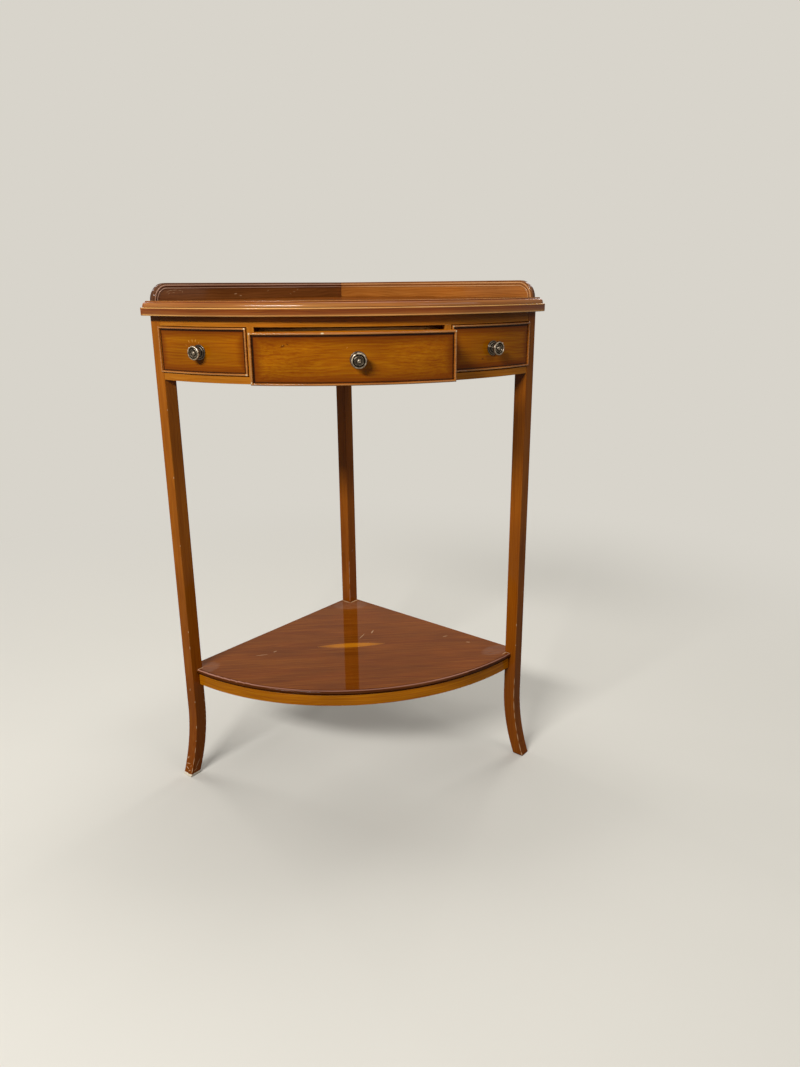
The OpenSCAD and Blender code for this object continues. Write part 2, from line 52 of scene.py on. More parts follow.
HALF_ROOT = math.sqrt(0.5)

# Places and sizes shared with the solids
CORNER_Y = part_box("top_board")[1].y / MM
FLOOR_TO_TOP = 726.0
TOP_THICK = 19.5
TOP_RADIUS = 402.5
BOW_RADIUS = 388.0
LEG = 20.0
FOOT = 18.5
NARROWING = (LEG - FOOT) / 2
FOOT_SPLAY = 21.5
FOOT_RISE = 115.0
GALLERY_LENGTH = 386.5
GALLERY_HIGH = 23.5
OPENING_LOW = 648.5
OPENING_HIGH = 712.5
FALSE_START = 135.5
SHAM_GAP = 0.8
BEAD = 3.4
DRAWER_WIDE = 250.0
DRAWER_LOW = 649.0
DRAWER_HIGH = 711.0
DRAWER_OPEN = 100.0
KNOB_HIGH = 679.0
ROSE_THICK = 2.6
FALSE_ANGLE = (math.asin(FALSE_START / BOW_RADIUS) + math.pi / 4 - math.asin(LEG / BOW_RADIUS)) / 2
FALSE_KNOBS_LEFT = 2.0
DRAWER_KNOB_RIGHT = 4.0
SHELF_TOP = 183.0
SHELF_THICK = 9.0

# Camera, from the fit of the photograph
CAMERA_PLACE = (-42.7, CORNER_Y - 1450.8, 762.8)
CAMERA_YAW = 0.0980
CAMERA_PITCH = 0.302
CAMERA_ROLL = -0.008
FOCAL_PIXELS = 795.42
PICTURE_LONG_SIDE = 1067
SENSOR = 36.0


def make_camera():
    data = bpy.data.cameras.new("camera")
    data.sensor_width = SENSOR
    data.lens = FOCAL_PIXELS * SENSOR / PICTURE_LONG_SIDE
    data.clip_start = 0.05
    camera = bpy.data.objects.new("camera", data)
    bpy.context.scene.collection.objects.link(camera)
    ahead = Vector((
        math.sin(CAMERA_YAW) * math.cos(CAMERA_PITCH),
        math.cos(CAMERA_YAW) * math.cos(CAMERA_PITCH),
        -math.sin(CAMERA_PITCH),
    ))
    level_right = Vector((math.cos(CAMERA_YAW), -math.sin(CAMERA_YAW), 0))
    level_up = level_right.cross(ahead)
    right = math.cos(CAMERA_ROLL) * level_right + math.sin(CAMERA_ROLL) * level_up
    up = math.cos(CAMERA_ROLL) * level_up - math.sin(CAMERA_ROLL) * level_right
    turn = Matrix((right, up, -ahead)).transposed()
    camera.matrix_world = Matrix.Translation(Vector(CAMERA_PLACE) * MM) @ turn.to_4x4()
    bpy.context.scene.camera = camera


make_camera()


# Points on the table

def at_side(right, along, inward, z):
    """A point measured along and inward from one straight side of the plan."""
    x = (inward - along) * HALF_ROOT
    return Vector((-x if right else x, CORNER_Y - (along + inward) * HALF_ROOT, z)) * MM


def at_bow(radius, angle, z):
    """A point on an arc round the rear corner; angle 0 is the middle of the bow."""
    return Vector((radius * math.sin(angle), CORNER_Y - radius * math.cos(angle), z)) * MM


def sweep_radius(out):
    """The radius of a foot's arc that ends out millimetres away at the floor."""
    return (FOOT_RISE ** 2 + out ** 2) / (2 * out)


def foot_sweep(out, z):
    """How far that arc has swept at height z."""
    drop = max(0.0, FOOT_RISE - z)
    return sweep_radius(out) - math.sqrt(sweep_radius(out) ** 2 - drop ** 2)


def on_leg(right, z, front=0.0, inner=0.0):
    """A point in millimetres on a front leg, so far across its front face or its inner face from the
    arris between them."""
    outer = BOW_RADIUS + foot_sweep(FOOT_SPLAY - NARROWING, z)
    thin = LEG - NARROWING * max(0.0, FOOT_RISE - z) / FOOT_RISE
    return at_side(right, outer - inner, thin - front, z) / MM


def on_bow(x, z, forward=0.0):
    """A point in millimetres on the bowed front, or on the drawer's when it stands so far forward."""
    return at_bow(BOW_RADIUS, math.asin(x / BOW_RADIUS), z) / MM - Vector((0, forward, 0))


def on_shelf(x, forward):
    """A point in millimetres on the shelf, so far forward of the rear corner."""
    return x, CORNER_Y - forward, SHELF_TOP


# Colour and nodes

def linear(code):
    """An sRGB hex colour as linear red, green, blue and alpha."""
    values = [int(code[i:i + 2], 16) / 255 for i in (1, 3, 5)]
    return [v / 12.92 if v <= 0.04045 else ((v + 0.055) / 1.055) ** 2.4 for v in values] + [1.0]


def add(tree, kind, inputs=(), output=0, stops=(), **settings):
    """One node: its settings, its inputs by name or number, a ramp's stops, and the output wanted. By
    number, a Mix node's factor and two floats are 0, 2 and 3, and a vector's scale is 3."""
    node = tree.nodes.new("ShaderNode" + kind)
    for name, value in settings.items():
        setattr(node, name, value)
    for key, value in inputs.items() if isinstance(inputs, dict) else enumerate(inputs):
        if isinstance(value, bpy.types.NodeSocket):
            tree.links.new(value, node.inputs[key])
        else:
            node.inputs[key].default_value = value
    for i, (position, code) in enumerate(stops):
        if i >= len(node.color_ramp.elements):
            node.color_ramp.elements.new(position)
        node.color_ramp.elements[i].position = position
        node.color_ramp.elements[i].color = linear(code)
    return node.outputs[output] if len(node.outputs) else None


def new_material(name):
    material = bpy.data.materials.new(name)
    material.use_nodes = True
    material.node_tree.nodes.clear()
    return material, material.node_tree


SMOOTH = {"interpolation_type": "SMOOTHSTEP"}

# Woods. Each layer's patches are so many millimetres along, across and into the board. Fibres and
# pores are a tenth of this width in the real wood, and are drawn wide enough to show.

GRAIN_LAYERS = {
    "wander": ((110.0, 24.0, 24.0), 2.0),
    "streak": ((150.0, 3.6, 3.6), 3.0),
    "fibre": ((60.0, 1.1, 1.1), 2.0),
    "pore": ((7.0, 0.45, 0.45), 1.0),
    "blotch": ((85.0, 30.0, 30.0), 1.0),
    "knock": ((10.0, 3.0, 3.0), 3.0),
    "nick": ((12.0, 1.0, 1.0), 2.0),
    "ripple": ((16.0, 9.0, 9.0), 1.0),
}
RING_SPACING = 4.2
RING_WANDER = 20.0


def wood_layers(tree, place):
    """Soft noise for each layer of the wood, and the figure that it makes with the growth rings, which
    are cut lengthwise."""
    layers = {}
    for name, (size, detail) in GRAIN_LAYERS.items():
        scaled = add(tree, "VectorMath", (place, size), operation="DIVIDE")
        layers[name] = add(tree, "TexNoise", {"Vector": scaled, "Scale": 1.0, "Detail": detail})
    across = add(tree, "SeparateXYZ", (place,), "Y")
    pushed = add(tree, "Math", (layers["wander"], RING_WANDER, across), operation="MULTIPLY_ADD")
    cycles = add(tree, "Math", (pushed, RING_SPACING), operation="DIVIDE")
    cycle = add(tree, "Math", (cycles,), operation="FRACT")
    early = add(tree, "MapRange", (cycle, 0.0, 0.15, 0.45, 0.75), **SMOOTH)
    late = add(tree, "MapRange", (cycle, 0.4, 1.0, 1.0, 0.6), **SMOOTH)
    ring = add(tree, "Math", (early, late), operation="MULTIPLY")
    soft = add(tree, "Mix", {0: 0.45, 2: layers["streak"], 3: ring})
    layers["figure"] = add(tree, "Mix", {0: 0.35, 2: soft, 3: layers["fibre"]})
    return layers


def marks(tree, place, cigars):
    """1 inside each cigar-shaped mark and 0 outside. A mark is its middle, its turn and tilt in degrees,
    its length and its width."""
    total = 0.0
    for (x, y, z), turn, tilt, length, width in cigars:
        turned_round = (0.0, math.radians(-tilt), math.radians(turn))
        size = (length / 2, width / 2, width / 2)
        inside = add(tree, "Mapping", (place, (x, y, z), turned_round, size), vector_type="TEXTURE")
        distance = add(tree, "VectorMath", (inside,), "Value", operation="LENGTH")
        mark = add(tree, "MapRange", (distance, 0.5, 1.0, 1.0, 0.0), **SMOOTH)
        total = add(tree, "Math", (mark, total), operation="MAXIMUM")
    return total


# Knots, stain where it is darkest, painted shade in corners, beside the beads and towards the feet, and
# places that are worn
KNOT = "#4a2004"
BEAD_STAIN = "#6a2602"
# Painted shadow: a dark line beside the beads
BEAD_SHADOW_LINE = "#240c02"
# Painted shade towards the feet of the legs
FOOT_PAINTED_SHADE = "#601f02"
# Painted shade in corners and hollows
CORNER_PAINTED_SHADE = "#1d0902"
# Stain collected in quirks and coves, and painted shade on parts of the mouldings
COLLECTED_STAIN_AND_SHADE = "#34160a"
CHIPPED = "#e2c39a"
SCUFFED_WHITE = "#f2e4ca"
HAZE = "#9a8070"


def lacquered_wood(name, colours, wear_and_shading="#d29a52", rubbing=0.35, chips=0.67, gloss=0.09, shine=0.14,
                   corners=2.5, stain=0.0, knots=(), scars=(), scar_colour="#cda478", leg=0.0,
                   raw_foot=False, hazes=(), sheen_and_wear_band=None):
    """Hardwood stained brown and sprayed with clear gloss lacquer. The grain shows through a smooth
    coat that has all the gloss. The colour is painted darker in hollows, as shade and as collected
    stain, and paler on arrises, as thin stain and as a painted highlight, and knocks show pale wood.
    Painted shade darkens the corners, so many millimetres wide. shine is the coat's weight and gloss
    its roughness. From 0 to 1, stain is how deep the dark stain beside the beads is, with a painted
    shadow line beside them, and leg how deep the painted shade towards a foot is.
    sheen_and_wear_band gives the two heights between which the shares of paler and darker colour
    count."""
    material, tree = new_material(name)
    grain = add(tree, "Attribute", output="Vector", attribute_name="grain")
    metres = add(tree, "TexCoord", output="Object")
    place = add(tree, "VectorMath", {0: metres, 3: 1 / MM}, operation="SCALE")
    wood = wood_layers(tree, grain)
    colour = add(tree, "ValToRGB", (wood["figure"],), stops=list(zip((0.30, 0.50, 0.68), colours)))
    pores = add(tree, "MapRange", (wood["pore"], 0.60, 0.74, 0.0, 0.35), **SMOOTH)
    colour = add(tree, "MixRGB", (pores, colour, linear(colours[0])))
    tone = add(tree, "MapRange", (wood["blotch"], 0.25, 0.75, 0.84, 1.12))
    colour = add(tree, "VectorMath", {0: colour, 3: tone}, operation="SCALE")
    if knots:
        # Pin knots 2 to 3 mm wide, about 100 mm apart, with the stain collected round them
        flat = add(tree, "VectorMath", (grain, (120.0, 75.0, 75.0)), operation="DIVIDE")
        knot = add(tree, "TexVoronoi", {"Vector": flat, "Scale": 1.0}, "Distance", voronoi_dimensions="2D")
        knot = add(tree, "MapRange", (knot, 0.006, 0.026, 0.6, 0.0), **SMOOTH)
        named = add(tree, "Math", (marks(tree, place, knots), 0.7), operation="MULTIPLY")
        knot = add(tree, "Math", (knot, named), operation="MAXIMUM")
        colour = add(tree, "MixRGB", (knot, colour, linear(KNOT)))
    if stain:
        near = add(tree, "Attribute", output="Color", attribute_name="margins")
        last = add(tree, "Attribute", output="Alpha", attribute_name="margins")
        for channel in ("Red", "Green", "Blue"):
            one = add(tree, "SeparateColor", (near,), channel)
            last = add(tree, "Math", (one, last), operation="MINIMUM")
        edge = add(tree, "MapRange", (last, 0.0, 16.0, stain, 0.0), **SMOOTH)
        # Painted shadow: a dark line on the front beside the beads, thinner beside the right and lower ones
        line = add(tree, "MapRange", (last, 0.8, 2.9, 1.0, 0.0), **SMOOTH)
        colour = add(tree, "MixRGB", (edge, colour, linear(BEAD_STAIN)))
        colour = add(tree, "MixRGB", (line, colour, linear(BEAD_SHADOW_LINE)))
    height = add(tree, "SeparateXYZ", (place,), "Z")
    if leg:
        # Painted shade: the legs are painted darker and redder towards the feet
        painted_foot_shade = add(tree, "MapRange", (height, 0.0, 460.0, leg, 0.0))
        colour = add(tree, "MixRGB", (painted_foot_shade, colour, linear(FOOT_PAINTED_SHADE)))
    # Painted shade: ambient occlusion darkens the colour in corners and hollows, so many millimetres wide
    hollow = add(tree, "AmbientOcclusion", {"Distance": corners * MM}, "AO", samples=8)
    corner_shade = add(tree, "MapRange", (hollow, 0.20, 0.80, 0.85, 0.0), **SMOOTH)
    colour = add(tree, "MixRGB", (corner_shade, colour, linear(CORNER_PAINTED_SHADE)))

    normal = add(tree, "NewGeometry", output="Normal")
    rounded = add(tree, "Bevel", {"Radius": 1.3 * MM}, samples=4)
    facing = add(tree, "VectorMath", (rounded, normal), "Value", operation="DOT_PRODUCT")
    edge = add(tree, "MapRange", (facing, 0.80, 0.985, 1.0, 0.0), **SMOOTH)
    open_air = add(tree, "MapRange", (hollow, 0.75, 0.95), **SMOOTH)
    arris = add(tree, "Math", (edge, open_air), operation="MULTIPLY")
    crest = add(tree, "Attribute", output="Fac", attribute_name="wear_and_shading")
    if sheen_and_wear_band:
        # Only the shoulder between these heights is painted paler, as worn and as a highlight
        lower, upper = sheen_and_wear_band
        above = add(tree, "MapRange", (height, lower, lower + 0.9), **SMOOTH)
        below = add(tree, "MapRange", (height, upper - 0.7, upper, 1.0, 0.0), **SMOOTH)
        band = add(tree, "Math", (above, below), operation="MULTIPLY")
        crest = add(tree, "Math", (crest, band), operation="MULTIPLY")
    # A share below 0 is a quirk, cove or rounding painted darker, as collected stain and as shade, and one
    # above 0 a crest
    stain_and_shade = add(tree, "MapRange", (crest, -1.0, 0.0, 1.0, 0.0))
    colour = add(tree, "MixRGB", (stain_and_shade, colour, linear(COLLECTED_STAIN_AND_SHADE)))
    # Crests and arrises are painted paler, as thin stain and as a painted highlight
    crest = add(tree, "Math", (crest, wood["streak"], 0.0), operation="MULTIPLY_ADD")
    thin = add(tree, "Math", (arris, rubbing, crest), operation="MULTIPLY_ADD", use_clamp=True)
    colour = add(tree, "MixRGB", (thin, colour, linear(wear_and_shading)))
    bare = add(tree, "MapRange", (wood["knock"], chips, chips + 0.04), **SMOOTH)
    bare = add(tree, "Math", (bare, arris), operation="MULTIPLY")
    colour = add(tree, "MixRGB", (bare, colour, linear(CHIPPED)))
    if scars:
        scar = add(tree, "Math", (marks(tree, place, scars), 0.8), operation="MULTIPLY")
        colour = add(tree, "MixRGB", (scar, colour, linear(scar_colour)))
        bare = add(tree, "Math", (bare, scar), operation="MAXIMUM")
    if raw_foot:
        # The lacquer is worn to white wood for a ragged 3 mm above the floor
        ragged = add(tree, "Math", (wood["knock"], -4.0, height), operation="MULTIPLY_ADD")
        scuffed = add(tree, "MapRange", (ragged, 2.0, 3.0, 1.0, 0.0), **SMOOTH)
        colour = add(tree, "MixRGB", (scuffed, colour, linear(SCUFFED_WHITE)))
        bare = add(tree, "Math", (bare, scuffed), operation="MAXIMUM")
    if hazes:
        haze = add(tree, "Math", (marks(tree, place, hazes), wood["nick"]), operation="MULTIPLY")
        haze = add(tree, "MapRange", (haze, 0.25, 0.75, 0.0, 0.3))
        colour = add(tree, "MixRGB", (haze, colour, linear(HAZE)))
    ripple = wood["ripple"]
    peel = add(tree, "Mix", {0: 0.8, 2: wood["pore"], 3: ripple})
    shader = add(tree, "BsdfPrincipled", {
        "Base Color": colour,
        "Roughness": add(tree, "MapRange", (bare, 0.0, 1.0, 0.42, 0.7)),
        "Normal": add(tree, "Bump", {"Strength": 0.12, "Distance": 0.12 * MM, "Height": peel}),
        "Coat Normal": add(tree, "Bump", {"Strength": 0.10, "Distance": 0.05 * MM, "Height": ripple}),
        "IOR": 1.5,
        "Specular IOR Level": 0.0,
        "Coat Weight": shine,
        "Coat Roughness": gloss,
        "Coat IOR": 1.5,
    })
    add(tree, "OutputMaterial", (shader,))
    return material


def bare_wood(name, colours, turn):
    """Softwood planed and left without a finish: dull and pale, with open grain, and its corners
    painted darker as shade. turn brings the board's length along X."""
    material, tree = new_material(name)
    metres = add(tree, "TexCoord", output="Object")
    lying = add(tree, "VectorRotate", {"Vector": metres, "Rotation": turn}, rotation_type="EULER_XYZ")
    place = add(tree, "VectorMath", {0: lying, 3: 1 / MM}, operation="SCALE")
    wood = wood_layers(tree, place)
    colour = add(tree, "ValToRGB", (wood["figure"],), stops=list(zip((0.30, 0.50, 0.70), colours)))
    # Painted shade: ambient occlusion darkens the corners
    hollow = add(tree, "AmbientOcclusion", {"Distance": 8.0 * MM}, "AO", samples=8)
    painted_corner_shade = add(tree, "MapRange", (hollow, 0.2, 0.95, 0.45, 0.0), **SMOOTH)
    shader = add(tree, "BsdfPrincipled", {
        "Base Color": add(tree, "MixRGB", (painted_corner_shade, colour, linear("#4a2e18"))),
        "Roughness": add(tree, "MapRange", (wood["fibre"], 0.3, 0.7, 0.62, 0.80)),
        "Normal": add(tree, "Bump", {"Strength": 0.35, "Distance": 0.15 * MM, "Height": wood["pore"]}),
        "IOR": 1.5,
    })
    add(tree, "OutputMaterial", (shader,))
    return material


def inlaid_satinwood(name):
    """Satinwood veneer let into the shelf under the same lacquer: bright and fine, and scorched
    darker towards its two points."""
    material, tree = new_material(name)
    metres = add(tree, "TexCoord", output="Object")
    place = add(tree, "VectorMath", {0: metres, 3: 1 / MM}, operation="SCALE")
    wood = wood_layers(tree, place)
    colour = add(tree, "ValToRGB", (wood["figure"],),
                 stops=[(0.30, "#9e5806"), (0.50, "#b86c0c"), (0.70, "#ca8216")])
    corner, far_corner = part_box("shelf_inlay")
    along = add(tree, "SeparateXYZ", (place,), "X")
    along = add(tree, "Math", (along, (corner.x + far_corner.x) / 2 / MM), operation="SUBTRACT")
    along = add(tree, "Math", (along,), operation="ABSOLUTE")
    scorch_start, scorch_end = 22.0, 56.0
    scorched = add(tree, "MapRange", (along, scorch_start, scorch_end, 0.0, 0.7), **SMOOTH)
    shader = add(tree, "BsdfPrincipled", {
        "Base Color": add(tree, "MixRGB", (scorched, colour, linear("#8a4c12"))),
        "Roughness": add(tree, "MapRange", (wood["fibre"], 0.3, 0.7, 0.35, 0.45)),
        "IOR": 1.5,
        "Specular IOR Level": 0.0,
        "Coat Weight": 0.35,
        "Coat Roughness": 0.05,
    })
    add(tree, "OutputMaterial", (shader,))
    return material


def antique_brass(name):
    """Brass turned on a lathe and darkened with acid: very dark in the hollows, brown on the
    flanks, and worn back to pale bright metal on the raised rings, which are also painted paler as
    highlights. The rose is painted very dark, as the shade under the knob."""
    material, tree = new_material(name)
    grain = add(tree, "Attribute", output="Vector", attribute_name="grain")
    scaled = add(tree, "VectorMath", (grain, (2.6, 2.6, 2.6)), operation="DIVIDE")
    mottle = add(tree, "TexNoise", {"Vector": scaled, "Scale": 1.0, "Detail": 3.0})
    hollow = add(tree, "AmbientOcclusion", {"Distance": 2.0 * MM}, "AO", samples=8)
    rubbing = add(tree, "MapRange", (hollow, 0.45, 1.0, 0.0, 0.85), **SMOOTH)
    rubbing = add(tree, "Math", (mottle, 0.5, rubbing), operation="MULTIPLY_ADD")
    colour = add(tree, "ValToRGB", (rubbing,),
                 stops=[(0.2, "#0c0906"), (0.62, "#3a3026"), (1.0, "#74685a")])
    crest = add(tree, "Attribute", output="Fac", attribute_name="wear_and_shading")
    # Shares below 0 are painted very dark: patina in the knob's hollows, and painted shade over the whole
    # rose
    patina_and_shade = add(tree, "MapRange", (crest, -1.0, 0.0, 1.0, 0.0))
    colour = add(tree, "MixRGB", (patina_and_shade, colour, linear("#0b0805")))
    # The raised rings are painted pale, as metal worn bright and as a painted highlight
    patchy = add(tree, "MapRange", (mottle, 0.38, 0.62, 0.0, 0.8))
    bright = add(tree, "Math", (crest, patchy), operation="MULTIPLY")
    shader = add(tree, "BsdfPrincipled", {
        "Base Color": add(tree, "MixRGB", (bright, colour, linear("#d6c8b0"))),
        "Roughness": add(tree, "MapRange", (mottle, 0.3, 0.7, 0.24, 0.42)),
        "Metallic": 1.0,
    })
    add(tree, "OutputMaterial", (shader,))
    return material


def zinc_plated_steel(name):
    """Mild steel screws and nuts with a thin zinc plating gone dull: grey, faintly patched."""
    material, tree = new_material(name)
    metres = add(tree, "TexCoord", output="Object")
    spangle = add(tree, "TexNoise", {"Vector": metres, "Scale": 0.4 / MM, "Detail": 2.0})
    shader = add(tree, "BsdfPrincipled", {
        "Base Color": add(tree, "ValToRGB", (spangle,), stops=[(0.3, "#8b8982"), (0.7, "#b5b3ab")]),
        "Roughness": add(tree, "MapRange", (spangle, 0.3, 0.7, 0.35, 0.5)),
        "Metallic": 1.0,
    })
    add(tree, "OutputMaterial", (shader,))
    return material


# Marks, each a middle, a turn, a tilt, a length and a width: scars of use, and glints painted on the beads
# as highlights

def down_arris(right, z, long, wide, inner=0.2):
    """A mark that follows the sweep of a front leg's arris."""
    lean = math.degrees(math.asin(max(0.0, FOOT_RISE - z) / sweep_radius(FOOT_SPLAY - NARROWING)))
    return on_leg(right, z, front=0.2, inner=inner), -45 if right else -135, 90 + lean, long, wide


# The shelf's top front arris is painted paler between these heights, as worn and as a highlight
SHELF_EDGE_SHEEN_AND_WEAR = (SHELF_TOP - 1.7, SHELF_TOP - 0.05)
SHELF_SCARS = (
    (on_shelf(14.0, 185.8), 62, 0, 26, 1.5), (on_shelf(33.0, 169.8), 70, 0, 16, 2.6),
    (on_shelf(157.0, 202.8), 20, 0, 12, 1.8), (on_shelf(192.0, 230.8), -15, 0, 9, 2.4),
    (on_shelf(-154.0, 240.8), 8, 0, 24, 1.6), (on_shelf(-133.0, 229.8), 35, 0, 9, 2.0),
    (on_shelf(-8.2, 23.2), -45, 0, 26, 5.0), (on_shelf(8.2, 23.2), 45, 0, 26, 5.0),
    (on_shelf(-249.5, 278.0), 45, 0, 16, 5.0), (on_shelf(250.0, 278.5), -45, 0, 14, 4.0),
    (on_shelf(246.0, 277.8), 40, 0, 22, 2.6),
)
SHELF_HAZES = (
    (on_shelf(0.0, 42.8), 0, 0, 90, 60), (on_shelf(-240.0, 277.8), 45, 0, 70, 50),
    (on_shelf(232.0, 265.8), 30, 0, 80, 44),
)
LEFT_LEG_SCARS = (
    (on_leg(False, 28.0, front=14.5), -45, 55, 8, 2.6), (on_leg(False, 19.0, front=12.0), -45, 12, 12, 1.8),
    (on_leg(False, 12.0, front=12.5), -45, -20, 11, 2.2), (on_leg(False, 9.0, front=6.5), -45, 35, 9, 1.6),
    (on_leg(False, 17.0, front=5.0), -45, 70, 8, 1.2), (on_leg(False, 19.0, inner=9.5), 45, 57, 22, 1.3),
    (on_leg(False, 10.0, inner=7.0), 45, 20, 9, 1.1), (on_leg(False, 148.0, front=10.0), -45, 80, 6, 1.8),
) + tuple(
    down_arris(False, z, long, wide)
    for z, long, wide in (
        (596.0, 3.0, 1.8), (497.0, 4.0, 2.0), (392.0, 3.0, 1.8), (251.0, 4.0, 2.0), (224.0, 7.0, 1.6),
        (129.0, 4.0, 2.0), (84.0, 7.0, 1.8), (60.0, 3.0, 1.6), (44.0, 14.0, 1.2), (26.0, 16.0, 1.4),
        (11.0, 12.0, 1.8),
    )
) + tuple(
    down_arris(False, z, long, 2.2, 18.0)
    for z, long in (
        (139.0, 3.0), (125.0, 5.0), (108.0, 2.5), (100.0, 3.0), (93.0, 4.0), (78.0, 2.5), (66.0, 3.0),
        (48.0, 2.5),
    )
)
RIGHT_LEG_SCARS = tuple(
    down_arris(True, z, long, wide)
    for z, long, wide in (
        (236.0, 6.0, 1.8), (200.0, 3.0, 1.8), (134.0, 18.0, 1.3), (112.0, 26.0, 1.5), (89.0, 22.0, 1.7),
        (71.0, 16.0, 1.5), (52.0, 22.0, 1.4), (33.0, 18.0, 1.6), (15.0, 20.0, 1.8), (4.0, 8.0, 2.6),
    )
)
REAR_LEG_SCARS = (
    (at_side(False, 10.0, LEG, 285.0) / MM, 45, 45, 9.0, 1.3),
) + tuple(
    ((0.0, CORNER_Y - LEG * math.sqrt(2) + 0.4, z), 0, 90, long, 1.5)
    for z, long in ((198.0, 34.0), (228.0, 20.0), (247.0, 30.0), (262.0, 12.0))
)
FRONT_SCARS = (
    (on_bow(-217.0, 693.0), -34, -60, 5.0, 1.6), (on_bow(-212.0, 694.0), -33, -80, 5.5, 1.7),
    (on_bow(-207.5, 694.0), -33, 70, 5.0, 1.6), (on_bow(-221.5, 688.0), -35, -30, 3.0, 1.1),
    (on_bow(-199.5, 688.0), -32, 30, 3.0, 1.0), (on_bow(-203.0, 691.5), -32, 60, 3.0, 1.2),
    (on_bow(-9.0, 693.5, DRAWER_OPEN), 0, 35, 3.4, 0.9),
    (on_bow(-84.7, 696.6, DRAWER_OPEN), -13, 0, 1.4, 1.2),
)
GALLERY_SCARS = tuple(
    (at_side(False, along, 9.0, z) / MM, 45, tilt, length, width)
    for along, z, tilt, length, width in (
        (362.0, 757.0, 5, 6.0, 0.7), (357.0, 758.8, 8, 9.0, 0.8), (349.5, 759.4, 2, 10.0, 0.8),
        (341.3, 759.0, -4, 7.0, 0.7), (337.0, 757.0, 70, 5.0, 0.7), (352.0, 756.2, -6, 6.0, 0.6),
        (360.0, 754.6, 30, 5.0, 0.7), (241.0, 753.2, 6, 7.0, 1.8), (231.5, 750.4, -6, 5.5, 1.6),
        (176.0, 757.0, 30, 5.0, 0.8), (120.0, 755.0, 0, 8.0, 0.7), (112.0, 758.5, 40, 6.0, 0.8),
        (128.0, 752.0, -20, 5.0, 0.7),
    )
)
# Painted highlights: pale glints on the beads' mitred corners and on the top beads
BEAD_PAINTED_GLINTS = tuple(
    (at_bow(BOW_RADIUS + 2.0, math.asin(x / BOW_RADIUS), z) / MM - Vector((0, forward, 0)), 0, 0, long, 3.0)
    for x, z, long, forward in (
        (-138.2, 710.2, 4.0, 0.0), (-138.2, 650.8, 4.0, 0.0), (-124.0, 709.6, 4.0, DRAWER_OPEN),
        (-37.5, 710.2, 5.0, DRAWER_OPEN), (124.0, 709.6, 3.0, DRAWER_OPEN),
        (-124.0, 652.0, 3.0, DRAWER_OPEN), (138.2, 710.2, 3.0, 0.0),
    )
)
DRAWER_KNOT = (
    (on_bow(-84.7, 695.6, DRAWER_OPEN), -13, 20, 7.0, 3.4),
    (on_bow(-79.0, 697.6, DRAWER_OPEN), -13, -30, 4.0, 1.6),
)

TOP_VENEER = lacquered_wood("top_lacquered_mahogany", ("#5a2406", "#74390e", "#8a4e18"), gloss=0.08,
                            shine=0.35)
TOP_LIPPING = lacquered_wood("top_lipping_lacquered_mahogany", ("#642a02", "#843c03", "#985008"),
                             wear_and_shading="#eeb060", rubbing=0.5, gloss=0.09, shine=0.5)
# Painted shade: the left rail, whose faces turn away from the light, is given darker colours than the right
# one
SHADED_LEFT_GALLERY_WOOD = lacquered_wood("left_gallery_shaded_lacquered_mahogany", ("#5a2c12", "#7c481e", "#90582a"),
                                   wear_and_shading="#c8a088", rubbing=0.0, shine=0.45, scars=GALLERY_SCARS)
RIGHT_GALLERY_WOOD = lacquered_wood("right_gallery_lacquered_mahogany", ("#783c10", "#9e5c20", "#b27030"),
                                    wear_and_shading="#cc9866", rubbing=0.1, shine=0.4)
# Painted shade: the wider corners darken the frieze under the top's overhang and beside the fronts
FRIEZE_VENEER = lacquered_wood("frieze_lacquered_yew", ("#984f08", "#b66b15", "#c67e24"), corners=7.0)
FRONT_VENEER = lacquered_wood("front_lacquered_yew", ("#843a02", "#a05602", "#b46e06"), stain=0.75,
                              knots=DRAWER_KNOT, scars=FRONT_SCARS, scar_colour="#d28c38")
# The pale marks given to the beads are painted glints
BEAD_WOOD = lacquered_wood("cock_bead_lacquered_yew", ("#7a3a06", "#9a500c", "#b06618"), wear_and_shading="#f6c274",
                           rubbing=0.1, chips=0.66, gloss=0.14, shine=0.5, scars=BEAD_PAINTED_GLINTS,
                           scar_colour="#e6d2a8")
LEG_COLOURS = ("#8c4a08", "#a4590e", "#b26716")
# Painted shade: the wider corners darken the legs where they meet the floor and other parts
LEFT_LEG_WOOD = lacquered_wood("left_leg_lacquered_beech", LEG_COLOURS, chips=0.64, corners=7.0,
                               scars=LEFT_LEG_SCARS, leg=0.6, raw_foot=True)
# Painted shade: the right and rear legs take darker colours than the left one, as less light reaches them
SHADED_LEG_COLOURS = ("#824206", "#98500a", "#a65e12")
RIGHT_LEG_WOOD = lacquered_wood("right_leg_lacquered_beech", SHADED_LEG_COLOURS, chips=0.64, corners=7.0,
                                scars=RIGHT_LEG_SCARS, leg=0.42)
REAR_LEG_WOOD = lacquered_wood("rear_leg_lacquered_beech", SHADED_LEG_COLOURS, corners=7.0,
                               scars=REAR_LEG_SCARS, scar_colour="#b08468", leg=0.42)
SIDE_VENEER = lacquered_wood("side_lacquered_mahogany", ("#4f210a", "#6d3610", "#854a1a"), gloss=0.2)
SHELF_VENEER = lacquered_wood("shelf_lacquered_mahogany", ("#622706", "#773906", "#8d4e10"), gloss=0.04,
                              shine=0.35, scars=SHELF_SCARS, hazes=SHELF_HAZES, sheen_and_wear_band=SHELF_EDGE_SHEEN_AND_WEAR)
SHELF_LIPPING = lacquered_wood("shelf_lipping_lacquered_mahogany", ("#3a1602", "#522404", "#683609"),
                               wear_and_shading="#dca088", rubbing=0.9, gloss=0.08, shine=0.14, scars=SHELF_SCARS,
                               sheen_and_wear_band=SHELF_EDGE_SHEEN_AND_WEAR)
